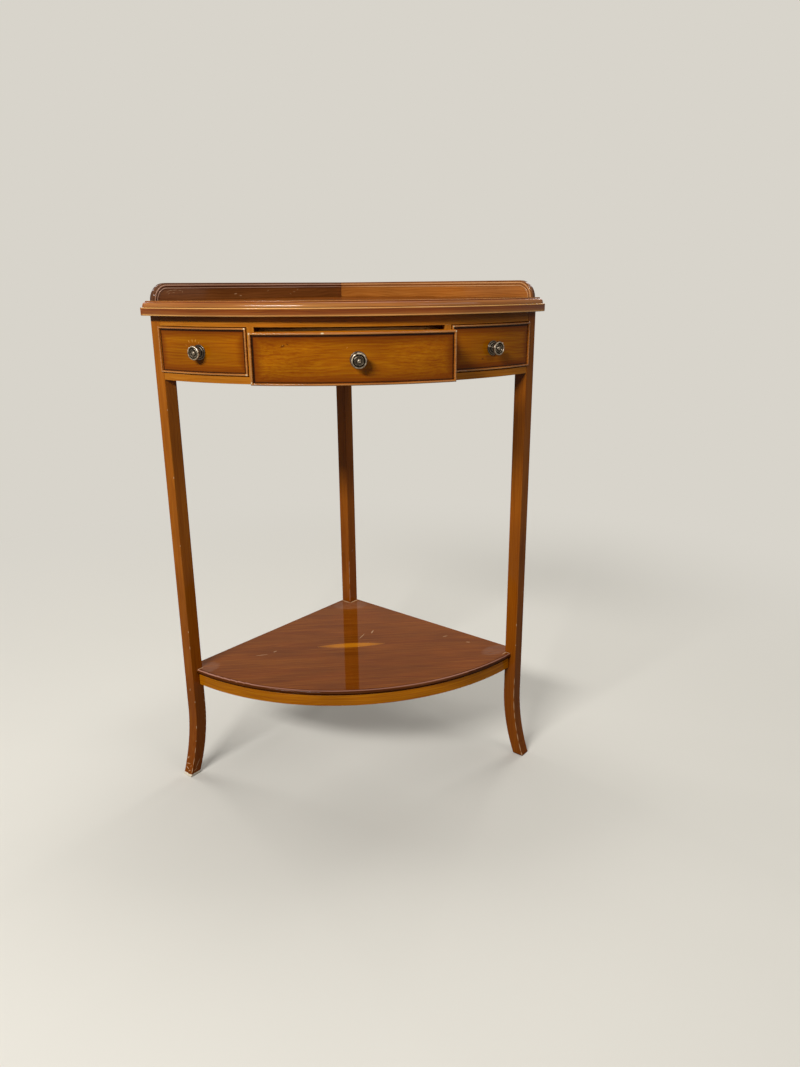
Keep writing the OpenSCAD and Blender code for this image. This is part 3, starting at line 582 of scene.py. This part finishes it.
APRON_VENEER = lacquered_wood("apron_lacquered_yew", ("#924a02", "#b06405", "#c27a0a"), rubbing=0.6)
LINING_COLOURS = ("#a98355", "#c9a878", "#ddc298")
LINING_ALONG = bare_wood("lining_pine_front_to_back", LINING_COLOURS, (0, 0, -math.pi / 2))
LINING_ACROSS = bare_wood("lining_pine_side_to_side", LINING_COLOURS, (0, 0, 0))
SATINWOOD = inlaid_satinwood("inlaid_satinwood")
BRASS = antique_brass("antique_brass")
STEEL = zinc_plated_steel("zinc_plated_steel")


# Grain. Each function gives a point's place along, across and into the wood

FLAT = 0.999


def grain_bow(point):
    """Grain that runs round the bow."""
    x, y = point.x / MM, CORNER_Y - point.y / MM
    return math.atan2(x, y) * BOW_RADIUS, point.z / MM, math.hypot(x, y)


def grain_side(right):
    """Grain that runs along one straight side."""
    def grain(point):
        x, y = (-point.x if right else point.x) / MM, point.y / MM - CORNER_Y
        return -(x + y) * HALF_ROOT, point.z / MM, (x - y) * HALF_ROOT
    return grain


def grain_up(right):
    """Grain that runs up a leg."""
    along_side = grain_side(right)

    def grain(point):
        along, high, inward = along_side(point)
        return high, along, inward
    return grain


def grain_wide(point):
    """Grain that runs from left to right."""
    return point.x / MM, point.y / MM, point.z / MM


def grain_lipped(point, facing):
    """Veneer that runs from left to right on the flats, with a lipping that runs round the edges."""
    if abs(facing.z) > FLAT:
        return grain_wide(point)
    if abs(facing.y - HALF_ROOT) < 0.01:
        return grain_side(facing.x > 0)(point)
    return grain_bow(point)


# Meshes

def loft(sections, around=False, wear_and_shading=()):
    """Skins closed sections one after another, round to the first again or capped at both ends.
    wear_and_shading is each point's share of paler colour, as worn stain and as a painted highlight,
    or below 0 of darker colour, as collected stain and as painted shade. The caps have neither."""
    mesh = bmesh.new()
    wear_and_shading_layer = mesh.verts.layers.float.new("wear_and_shading")
    rows = [[mesh.verts.new(p) for p in section] for section in sections]
    for row in rows:
        for vertex, share in zip(row, wear_and_shading):
            vertex[wear_and_shading_layer] = share
    count = len(rows[0])
    pairs = list(zip(rows, rows[1:]))
    if around:
        pairs.append((rows[-1], rows[0]))
    for first, second in pairs:
        for i in range(count):
            j = (i + 1) % count
            mesh.faces.new((first[i], first[j], second[j], second[i]))
    if not around:
        for row in (rows[0], rows[-1]):
            mesh.faces.new(row)
            for vertex in row:
                vertex[wear_and_shading_layer] = 0.0
    bmesh.ops.remove_doubles(mesh, verts=mesh.verts, dist=0.001 * MM)
    bmesh.ops.recalc_face_normals(mesh, faces=mesh.faces)
    return mesh


ARRIS_TURN = math.radians(40)
ARRIS_LENGTH = 3.0
CREASE = math.radians(38)


def ease_arrises(mesh, width):
    """Rounds over the outside arrises, apart from the very short ones."""
    sharp = [
        e for e in mesh.edges
        if len(e.link_faces) == 2 and e.is_convex and e.calc_face_angle(0) > ARRIS_TURN
        and e.calc_length() > ARRIS_LENGTH * MM
    ]
    bmesh.ops.bevel(mesh, geom=sharp, offset=width * MM, segments=3, profile=0.5, affect="EDGES",
                    clamp_overlap=True)


def copy_of(node, width):
    """A node's mesh, welded, with flat faces made whole and its arrises eased so wide."""
    mesh = bmesh.new()
    mesh.from_mesh(frame["nodes"][node].data)
    bmesh.ops.remove_doubles(mesh, verts=mesh.verts, dist=0.01 * MM)
    bmesh.ops.dissolve_limit(mesh, angle_limit=math.radians(0.4), verts=mesh.verts, edges=mesh.edges)
    ease_arrises(mesh, width)
    return mesh


BODY_OF = {
    node: body for body, nodes in frame["record"]["behaviour"]["bodies"].items() for node in nodes
}
FAR_FROM_BEADS = (99.0, 99.0, 99.0, 99.0)
BOARD_ACROSS = 61.0
BOARD_INTO = 17.0
pieces_made = 0


def dress(name, mesh, material, grain, node, margins=None, lipping=None, behind=None):
    """Puts a finished mesh in the scene in place of its CAD node. Each piece is cut from another place
    in the wood. lipping goes round its edge and behind on its back, if they are named. margins gives
    a front's distances to its four beads."""
    global pieces_made
    pieces_made += 1
    shift = (0.0, BOARD_ACROSS * pieces_made, BOARD_INTO * pieces_made)
    for face in mesh.faces:
        face.smooth = True
    for edge in mesh.edges:
        edge.smooth = len(edge.link_faces) != 2 or edge.calc_face_angle(0) < CREASE
    data = bpy.data.meshes.new(name)
    mesh.to_mesh(data)
    mesh.free()
    data.attributes.new("grain", "FLOAT_VECTOR", "CORNER")
    data.attributes.new("margins", "FLOAT_COLOR", "CORNER")
    grains, distances = data.attributes["grain"].data, data.attributes["margins"].data
    for face in data.polygons:
        for corner in face.loop_indices:
            point = data.vertices[data.loops[corner].vertex_index].co
            value = grain(point, face.normal) if grain is grain_lipped else grain(point)
            grains[corner].vector = [a + b for a, b in zip(value, shift)]
            if margins:
                distances[corner].color = margins(point) if face.normal.y < -0.5 else FAR_FROM_BEADS
    data.materials.append(material)
    if lipping:
        data.materials.append(lipping)
        for face in data.polygons:
            face.material_index = 0 if abs(face.normal.z) > FLAT else 1
    if behind:
        data.materials.append(behind)
        for face in data.polygons:
            face.material_index = 1 if face.normal.y > 0.5 else 0
    piece = bpy.data.objects.new(name, data)
    bpy.context.scene.collection.objects.link(piece)
    normals = piece.modifiers.new("flat_faces_stay_flat", "WEIGHTED_NORMAL")
    normals.keep_sharp = True
    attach(piece, BODY_OF[node])
    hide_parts(node)


def arc(x, y, radius, start, end, steps):
    """Points on an arc from start to end degrees."""
    turns = [math.radians(start + (end - start) * i / steps) for i in range(steps + 1)]
    return [(x + radius * math.cos(t), y + radius * math.sin(t)) for t in turns]


# Top and gallery

def make_top():
    """A square lower member, and on it an ovolo, widest at its foot, with a fillet above. The outline
    is (radius, height, share). The lower member's face is painted paler at its foot and darker near its
    top, as light and shade; its arrises, the fillet's arris and the ovolo's foot are painted paler, as
    worn and as highlights."""
    lower_high = 11.0
    ledge = TOP_RADIUS - 3.5
    ovolo_wide, ovolo_high, ovolo_steps = 4.5, 6.2, 10
    fillet = ledge - 5.2
    steps = 120
    outline = [(0.0, 0.0, 0.0), (200.0, 0.0, 0.0), (TOP_RADIUS - 2.4, 0.0, 0.0)]
    outline += [(r, z, 1.6) for r, z in arc(TOP_RADIUS - 1.3, 1.3, 1.3, -80, -5, 5)]
    outline += [(TOP_RADIUS, 2.3, 0.3), (TOP_RADIUS, 6.0, 0.0), (TOP_RADIUS, 9.2, -0.15)]
    outline += [(r, z, 1.6) for r, z in arc(TOP_RADIUS - 1.0, lower_high - 1.0, 1.0, 5, 80, 5)]
    outline += [(TOP_RADIUS - 1.9, lower_high, 0.0), (ledge - 0.1, lower_high, 0.0)]
    outline += [(ledge - 0.5, lower_high + 0.25, 0.0)]
    for i in range(ovolo_steps + 1):
        turn = math.pi / 2 * i / ovolo_steps
        outline.append((ledge - ovolo_wide + ovolo_wide * math.cos(turn),
                        lower_high + 0.5 + ovolo_high * math.sin(turn), 0.45 * math.cos(turn)))
    outline += [(fillet, lower_high + 0.5 + ovolo_high, 0.0), (fillet, TOP_THICK - 0.5, 0.0)]
    outline += [(fillet - 0.15, TOP_THICK - 0.15, 0.8), (fillet - 0.5, TOP_THICK, 0.8)]
    outline += [(fillet - 1.4, TOP_THICK, 0.0), (200.0, TOP_THICK, 0.0), (0.0, TOP_THICK, 0.0)]
    sections = []
    for i in range(steps + 1):
        angle = -math.pi / 4 + math.pi / 2 * i / steps
        sections.append([at_bow(r, angle, FLOOR_TO_TOP + z) for r, z, _ in outline])
    mesh = loft(sections, wear_and_shading=[share for _, _, share in outline])
    dress("top_board_moulded", mesh, TOP_VENEER, grain_lipped, "top_board", lipping=TOP_LIPPING)


def gallery_moulding():
    """The rail's section as (inset, depth, share): rounded arrises, a roll, a cove and a bead round
    the sunk field. The border is 8 mm wide. The outer rounding and the cove are painted darker, as
    collected stain and as shade, and the crests of the roll and the bead paler, as worn and as
    highlights."""
    quarter = [math.pi / 2 * i / 5 for i in range(6)]
    half = [math.pi * i / 8 for i in range(9)]
    points = [(2.0 - 2.0 * math.sin(t), 2.0 - 2.0 * math.cos(t), -0.8 * math.sin(t)) for t in quarter]
    points += [(1.8 - 1.8 * math.cos(t), 8.0 + 1.4 * math.sin(t), -0.5) for t in quarter]
    points += [(3.3 - 1.3 * math.cos(t), 9.15 + 0.85 * math.sin(t), 1.5 * math.sin(t) ** 2) for t in half]
    points += [(4.9, 8.85, -0.4), (5.5, 8.75, -0.3), (6.1, 8.9, -0.4)]
    points += [(7.1 - 0.75 * math.cos(t), 9.0 + 0.8 * math.sin(t), 1.8 * math.sin(t) ** 2) for t in half]
    return points + [(8.0, 9.0, 0.0)]


def make_gallery(right):
    """One rail: its moulding runs along the top edge and down round the quarter circle at the end.
    Where the two rails meet, the mitre starts each line of the moulding at its own depth."""
    base = FLOOR_TO_TOP + TOP_THICK
    foot = base - 1.0
    straight = GALLERY_LENGTH - GALLERY_HIGH
    long_steps, turn_steps = 24, 20
    stations = [straight * i / long_steps for i in range(1, long_steps + 1)]
    turns = [math.pi / 2 * i / turn_steps for i in range(1, turn_steps + 1)]
    mesh = bmesh.new()
    wear_and_shading_layer = mesh.verts.layers.float.new("wear_and_shading")
    moulding = gallery_moulding()
    columns = []
    for inset, depth, share in moulding:
        radius = GALLERY_HIGH - inset
        column = [at_side(right, along, depth, base + radius) for along in [depth] + stations]
        for turn in turns:
            along, high = straight + radius * math.sin(turn), base + radius * math.cos(turn)
            column.append(at_side(right, along, depth, high))
        column.append(at_side(right, straight + radius, depth, foot))
        columns.append([mesh.verts.new(p) for p in column])
        for vertex in columns[-1]:
            vertex[wear_and_shading_layer] = share
    for first, second in zip(columns, columns[1:]):
        for i in range(len(first) - 1):
            mesh.faces.new((first[i], first[i + 1], second[i + 1], second[i]))
    back_foot = mesh.verts.new(at_side(right, 0.0, 0.0, foot))
    field_depth = moulding[-1][1]
    field_foot = mesh.verts.new(at_side(right, field_depth, field_depth, foot))
    mesh.faces.new(columns[0] + [back_foot])
    mesh.faces.new(columns[-1] + [field_foot])
    mesh.faces.new([c[-1] for c in columns] + [field_foot, back_foot])
    mesh.faces.new([c[0] for c in columns] + [field_foot, back_foot])
    bmesh.ops.recalc_face_normals(mesh, faces=mesh.faces)
    side = "right" if right else "left"
    wood = RIGHT_GALLERY_WOOD if right else SHADED_LEFT_GALLERY_WOOD
    dress("gallery_" + side + "_moulded", mesh, wood, grain_side(right), "gallery_rail_" + side)


# Legs

def rounded_rectangle(x0, x1, y0, y1, radius):
    """A rectangle with its corners rounded over."""
    points = []
    for x, y, start in ((x1, y1, 0), (x0, y1, 90), (x0, y0, 180), (x1, y0, 270)):
        cx = x - radius if x == x1 else x + radius
        cy = y - radius if y == y1 else y + radius
        points += arc(cx, cy, radius, start, start + 90, 4)
    return points


def make_leg(name, right, front, wood):
    """A square leg with eased arrises, a little drawn in where it meets the floor. The front ones
    sweep outwards and grow thinner below FOOT_RISE."""
    arris, tucked_in = 1.1, 0.8
    sweep_step, straight_steps = 3.5, 24
    heights = [0.0, 0.5, 1.2] + [3.0 + sweep_step * i for i in range(32)] + [FOOT_RISE]
    heights += [FOOT_RISE + (FLOOR_TO_TOP - FOOT_RISE) * i / straight_steps
                for i in range(1, straight_steps + 1)]
    sections = []
    for z in heights:
        x0, x1, y0, y1 = (BOW_RADIUS - LEG, BOW_RADIUS, 0.0, LEG) if front else (0.0, LEG, 0.0, LEG)
        if front and z < FOOT_RISE:
            thinner = NARROWING * (1 - z / FOOT_RISE)
            x1 += foot_sweep(FOOT_SPLAY - NARROWING, z)
            x0 += foot_sweep(FOOT_SPLAY + NARROWING, z)
            y0 += thinner
            y1 -= thinner
        tuck = max(0.0, 1.0 - z) * tucked_in
        outline = rounded_rectangle(x0 + tuck, x1 - tuck, y0 + tuck, y1 - tuck, arris)
        sections.append([at_side(right, x, y, z) for x, y in outline])
    dress(name + "_shaped", loft(sections), wood, grain_up(right), name)


# Shelf

def make_shelf():
    """The board with its notches, undercut below its front edge so that a dark line runs over the apron.
    Its front edge is marked to be painted paler along its top arris, as worn and as a highlight."""
    lip = 4.6
    hollow_radius = 376.2
    edge_radius = BOW_RADIUS - 20.0
    bottom = SHELF_TOP - SHELF_THICK
    mesh = copy_of("shelf_board", 0.6)
    wear_and_shading_layer = mesh.verts.layers.float.new("wear_and_shading")
    for vertex in mesh.verts:
        away = Vector((vertex.co.x / MM, vertex.co.y / MM - CORNER_Y))
        under = (vertex.co.z / MM - bottom) / (SHELF_THICK - lip)
        # Vertices on the front edge take a share of paler colour, as worn and as a painted highlight
        if away.length > edge_radius:
            vertex[wear_and_shading_layer] = 1.1
        if under < 1.0 and away.length > hollow_radius:
            radius = hollow_radius + (away.length - hollow_radius) * max(0.0, under) ** 2
            vertex.co.x *= radius / away.length
            vertex.co.y = (CORNER_Y + away.y * radius / away.length) * MM
    dress("shelf_board_moulded", mesh, SHELF_VENEER, grain_lipped, "shelf_board", lipping=SHELF_LIPPING)


# Fronts and cock beads

def bead_section():
    """A bead with steep sides and a round crown, and a sunk quirk inside it: (inset, height, share).
    The crown is painted paler, as worn and as a highlight.
    """
    wide = BEAD - 0.5
    radius = wide / 2
    quirk, root = -0.6, -4.5
    top = [(radius - radius * math.cos(t), 0.7 + 1.5 * math.sin(t), 0.5 * math.sin(t) ** 4)
           for t in [math.pi * i / 12 for i in range(13)]]
    return top + [(wide + 0.05, quirk, 0), (BEAD, quirk, 0), (BEAD, root, 0), (0.0, root, 0)]


def make_bead(name, node, low, high, start, end, forward=0.0):
    """A mitred bead frame on the bow. start and end give the frame's ends, as angles, for an inset."""
    long_steps, short_steps = 40, 6
    outline = bead_section()

    def place(inset, height, u, v):
        angle = start(inset) + (end(inset) - start(inset)) * u
        z = low + inset + (high - low - 2 * inset) * v
        point = at_bow(BOW_RADIUS + height, angle, z)
        point.y -= forward * MM
        return point

    loop = [(i / long_steps, 0.0) for i in range(long_steps)]
    loop += [(1.0, i / short_steps) for i in range(short_steps)]
    loop += [(1.0 - i / long_steps, 1.0) for i in range(long_steps)]
    loop += [(0.0, 1.0 - i / short_steps) for i in range(short_steps)]
    sections = [[place(inset, height, u, v) for inset, height, _ in outline] for u, v in loop]
    mesh = loft(sections, around=True, wear_and_shading=[share for _, _, share in outline])
    dress(name, mesh, BEAD_WOOD, grain_bow, node)


# Beside the right and the lower bead, the painted shadow line on a front is thinner by so much, as the
# light falls from the upper left
SHADOW_THINNER_RIGHT = 0.6
SHADOW_THINNER_LOW = 0.9


def false_start(inset):
    return math.asin((FALSE_START + SHAM_GAP + inset) / BOW_RADIUS)


def false_end(inset):
    return math.pi / 4 - math.asin((LEG - BEAD + inset) / BOW_RADIUS)


def make_false_front(right):
    side = "right" if right else "left"
    sign = 1 if right else -1
    low, high = OPENING_LOW + SHAM_GAP, OPENING_HIGH - SHAM_GAP

    def margins(point):
        around, up, _ = grain_bow(point)
        first, last = false_start(BEAD) * BOW_RADIUS, false_end(BEAD) * BOW_RADIUS
        # The left front mirrors the right one, so its two ends change places
        left, right_hand = (sign * around - first, last - sign * around)[::sign]
        return left, right_hand + SHADOW_THINNER_RIGHT, up - low - BEAD + SHADOW_THINNER_LOW, high - BEAD - up

    dress("false_front_" + side + "_veneered", copy_of("false_front_" + side, 0.25), FRONT_VENEER,
          grain_bow, "false_front_" + side, margins, behind=LINING_ACROSS)
    make_bead("false_bead_" + side, "false_beads_" + side, low, high,
              lambda inset: sign * false_start(inset), lambda inset: sign * false_end(inset))


def make_drawer_front():
    half = DRAWER_WIDE / 2

    def margins(point):
        x, z = point.x / MM, point.z / MM
        sides = (x + half - BEAD, half - BEAD - x + SHADOW_THINNER_RIGHT)
        return sides + (z - DRAWER_LOW - BEAD + SHADOW_THINNER_LOW, DRAWER_HIGH - BEAD - z)

    def grain(point):
        return point.x / MM, point.z / MM, point.y / MM

    dress("drawer_front_veneered", copy_of("drawer_front", 0.25), FRONT_VENEER, grain, "drawer_front",
          margins, behind=LINING_ACROSS)
    make_bead("drawer_bead", "drawer_beads", DRAWER_LOW, DRAWER_HIGH,
              lambda inset: math.asin((inset - half) / BOW_RADIUS),
              lambda inset: math.asin((half - inset) / BOW_RADIUS), DRAWER_OPEN)


# Knobs. Each turning is (radius, reach, share), from the axis and from the face of the front. A
# share above 0 is painted pale, as worn metal and as a highlight, and one below 0 very dark, as
# patina in the hollows and, over the rose, as painted shade.

KNOB_TURNING = [
    (0.0, -6.0, 0), (2.0, -6.0, 0), (2.0, ROSE_THICK, 0),
    (5.4, 2.6, -0.7), (5.5, 3.0, -0.2), (5.0, 3.5, -0.7), (4.2, 4.0, -0.7), (3.8, 4.8, -0.7),
    (3.7, 5.8, -0.7), (3.9, 7.0, -0.7), (4.6, 8.2, -0.7), (6.0, 9.2, -0.5), (7.8, 9.9, -0.3),
    (9.0, 10.4, 0), (9.5, 11.1, 0.3), (9.6, 11.9, 0.5), (9.45, 12.8, 0.9), (9.0, 13.5, 1.1),
    (8.4, 13.9, 1.1), (7.9, 13.95, 0.9), (7.4, 13.5, 0.3), (7.1, 12.7, 0), (6.9, 12.0, 0),
    (6.6, 11.8, 0), (6.3, 12.1, 0.1), (6.0, 12.7, 0.5), (5.6, 12.9, 0.6), (5.2, 12.6, 0.3),
    (5.0, 11.9, 0.1), (4.7, 11.4, 0.1), (4.1, 11.3, 0.1), (3.5, 11.4, 0.1), (3.1, 11.9, 0.1),
    (2.8, 12.7, 0.3), (2.4, 13.2, 0.5), (1.9, 13.3, 0.4), (1.6, 13.1, 0.1), (1.3, 13.2, 0.1),
    (0.9, 13.5, 0.3), (0.5, 13.65, 0.4), (0.0, 13.7, 0.4),
]
# The rose's shares are all below 0, so it is painted very dark, as the shade that the knob casts on it
ROSE_TURNING = [
    (2.0, 0.0, -0.7), (10.2, 0.0, -0.7), (10.2, 0.7, -0.6), (10.0, 1.1, -0.3), (9.5, 1.35, -0.3),
    (8.9, 1.3, -0.6), (8.6, 1.1, -0.7), (8.3, 1.2, -0.7), (8.0, 1.7, -0.6), (7.6, 2.2, -0.4),
    (7.0, 2.5, -0.3), (6.4, 2.4, -0.5), (6.1, 2.2, -0.7), (5.9, ROSE_THICK, -0.7), (2.0, ROSE_THICK, -0.7),
]


def turned(profile, angle, forward, polish_and_highlight):
    """Spins a turning about an axis that stands square to the bow at the knobs' height.
    polish_and_highlight scales the pale rings, which stand for metal that hands have brought out and
    for a painted highlight, and is lower where less light falls."""
    steps = 72
    centre = at_bow(BOW_RADIUS, angle, KNOB_HIGH)
    centre.y -= forward * MM
    out = Vector((math.sin(angle), -math.cos(angle), 0))
    wide = Vector((math.cos(angle), math.sin(angle), 0))
    up = Vector((0, 0, 1))
    mesh = bmesh.new()
    wear_and_shading_layer = mesh.verts.layers.float.new("wear_and_shading")
    rows = []
    for i in range(steps):
        turn = 2 * math.pi * i / steps
        spoke = wide * math.cos(turn) + up * math.sin(turn)
        rows.append([mesh.verts.new(centre + (out * reach + spoke * r) * MM) for r, reach, _ in profile])
        for vertex, (_, _, share) in zip(rows[-1], profile):
            vertex[wear_and_shading_layer] = share * polish_and_highlight if share > 0 else share
    for i in range(steps):
        first, second = rows[i], rows[(i + 1) % steps]
        for j in range(len(profile) - 1):
            mesh.faces.new((first[j], first[j + 1], second[j + 1], second[j]))
    bmesh.ops.remove_doubles(mesh, verts=mesh.verts, dist=0.002 * MM)
    bmesh.ops.dissolve_degenerate(mesh, edges=mesh.edges, dist=0.001 * MM)
    bmesh.ops.holes_fill(mesh, edges=mesh.edges)
    bmesh.ops.recalc_face_normals(mesh, faces=mesh.faces)
    return mesh


def make_knob(which, angle, forward=0.0, polish_and_highlight=1.0):
    """A knob and its rose."""
    for name, profile in (("knob_" + which, KNOB_TURNING), ("rose_" + which, ROSE_TURNING)):
        dress(name + "_turned", turned(profile, angle, forward, polish_and_highlight), BRASS, grain_wide, name)


def ease(node, width, material, grain):
    """A piece that keeps its CAD node's shape, with its arrises eased."""
    dress(node + "_eased", copy_of(node, width), material, grain, node)


make_top()
for right in (False, True):
    side = "right" if right else "left"
    make_gallery(right)
    make_leg("front_leg_" + side, right, True, RIGHT_LEG_WOOD if right else LEFT_LEG_WOOD)
    make_false_front(right)
    ease("muntin_" + side, 0.3, FRIEZE_VENEER, grain_up(right))
    ease("side_rail_" + side, 0.5, SIDE_VENEER, grain_side(right))
make_leg("rear_leg", False, False, REAR_LEG_WOOD)
make_drawer_front()
ease("frieze_top_rail", 0.3, FRIEZE_VENEER, grain_bow)
ease("frieze_bottom_rail", 0.6, FRIEZE_VENEER, grain_bow)
make_shelf()
ease("shelf_apron", 0.9, APRON_VENEER, grain_bow)
# The right knob faces away from the light, so its pale rings are painted dimmer
make_knob("left", -FALSE_ANGLE - FALSE_KNOBS_LEFT / BOW_RADIUS)
make_knob("right", FALSE_ANGLE - FALSE_KNOBS_LEFT / BOW_RADIUS, polish_and_highlight=0.3)
make_knob("drawer", DRAWER_KNOB_RIGHT / BOW_RADIUS, DRAWER_OPEN, 0.8)

# CAD nodes that keep their own solids

STAYING = (
    (LINING_ALONG, (
        "gallery_dowels", "drawer_runner_left", "drawer_runner_right", "drawer_guide_left",
        "drawer_guide_right", "kicker_left", "kicker_right", "drawer_stops", "top_block_left",
        "top_block_right", "drawer_side_left", "drawer_side_right", "shelf_dowels",
    )),
    (LINING_ACROSS, ("drawer_back", "drawer_bottom", "apron_blocks")),
    (STEEL, ("top_screws", "knob_nut_left", "knob_nut_right", "knob_nut_drawer")),
    (SATINWOOD, ("shelf_inlay",)),
)
for material, nodes in STAYING:
    for node in nodes:
        solid = frame["nodes"][node].data
        solid.materials.clear()
        solid.materials.append(material)


# Floor, background and light

BACKGROUND = "#d8d4cb"
AMBIENT = 0.12
FADE_START = 0.55
FADE_END = 1.7
FLOOR_RADIUS = 9.0


def seen_directly(tree):
    """1 for what the eye meets, directly or in gloss and glass, and 0 for light on its way to a surface."""
    seen = add(tree, "LightPath", output="Is Camera Ray")
    for ray in ("Is Glossy Ray", "Is Transmission Ray"):
        seen = add(tree, "Math", (seen, add(tree, "LightPath", output=ray)), operation="MAXIMUM")
    return seen


def make_floor():
    """A plain pale floor that keeps the table's shadow and fades into the background further off.
    It sends back less light than the eye sees, so that it doesn't lighten the wood from below."""
    material, tree = new_material("pale_floor")
    metres = add(tree, "TexCoord", output="Object")
    distance = add(tree, "VectorMath", (metres,), "Value", operation="LENGTH")
    far = add(tree, "MapRange", (distance, FADE_START, FADE_END), **SMOOTH)
    seen = seen_directly(tree)
    shader = add(tree, "BsdfPrincipled", {
        "Base Color": add(tree, "MixRGB", (seen, linear("#4e4c4a"), linear("#dcd8ce"))),
        "Roughness": 0.9,
        "Specular IOR Level": 0.1,
    })
    strength = add(tree, "MapRange", (seen, 0.0, 1.0, AMBIENT, 1.0))
    background = add(tree, "Emission", (linear(BACKGROUND), strength))
    add(tree, "OutputMaterial", (add(tree, "MixShader", (far, shader, background)),))
    mesh = bmesh.new()
    bmesh.ops.create_circle(mesh, cap_ends=True, segments=96, radius=FLOOR_RADIUS)
    data = bpy.data.meshes.new("floor")
    mesh.to_mesh(data)
    mesh.free()
    data.materials.append(material)
    floor = bpy.data.objects.new("floor", data)
    bpy.context.scene.collection.objects.link(floor)


def make_world():
    """Pale to the eye and in reflections, and dimmer as light on the table."""
    world = bpy.data.worlds.new("studio")
    bpy.context.scene.world = world
    world.use_nodes = True
    tree = world.node_tree
    tree.nodes.clear()
    strength = add(tree, "MapRange", (seen_directly(tree), 0.0, 1.0, AMBIENT, 1.0))
    add(tree, "OutputWorld", (add(tree, "Background", (linear(BACKGROUND), strength)),))


# Lamps: name, place, aim, width, height and watts
LAMPS = (
    ("key", (-1.47, -2.10, 2.08), (0, 0, 0.5), 1.3, 0.35, 78),
    ("fill", (1.75, -1.45, 2.0), (0, 0, 0.5), 1.4, 1.0, 11),
    ("overhead", (0.2, 0.3, 2.6), (0, 0, 0.4), 1.1, 1.1, 13),
    ("back_right", (1.9, 2.0, 1.6), (0, 0, 0.45), 1.2, 1.2, 26),
    ("back_left", (-1.9, 1.7, 1.6), (0, 0, 0.45), 1.2, 1.2, 26),
)


def make_lamp(name, place, aim, wide, high, watts):
    data = bpy.data.lights.new(name, "AREA")
    data.shape = "RECTANGLE"
    data.size = wide
    data.size_y = high
    data.energy = watts
    lamp = bpy.data.objects.new(name, data)
    bpy.context.scene.collection.objects.link(lamp)
    lamp.location = place
    lamp.rotation_euler = (Vector(aim) - Vector(place)).to_track_quat("-Z", "Y").to_euler()


make_floor()
make_world()
for lamp in LAMPS:
    make_lamp(*lamp)

bpy.context.scene.view_settings.view_transform = "Standard"
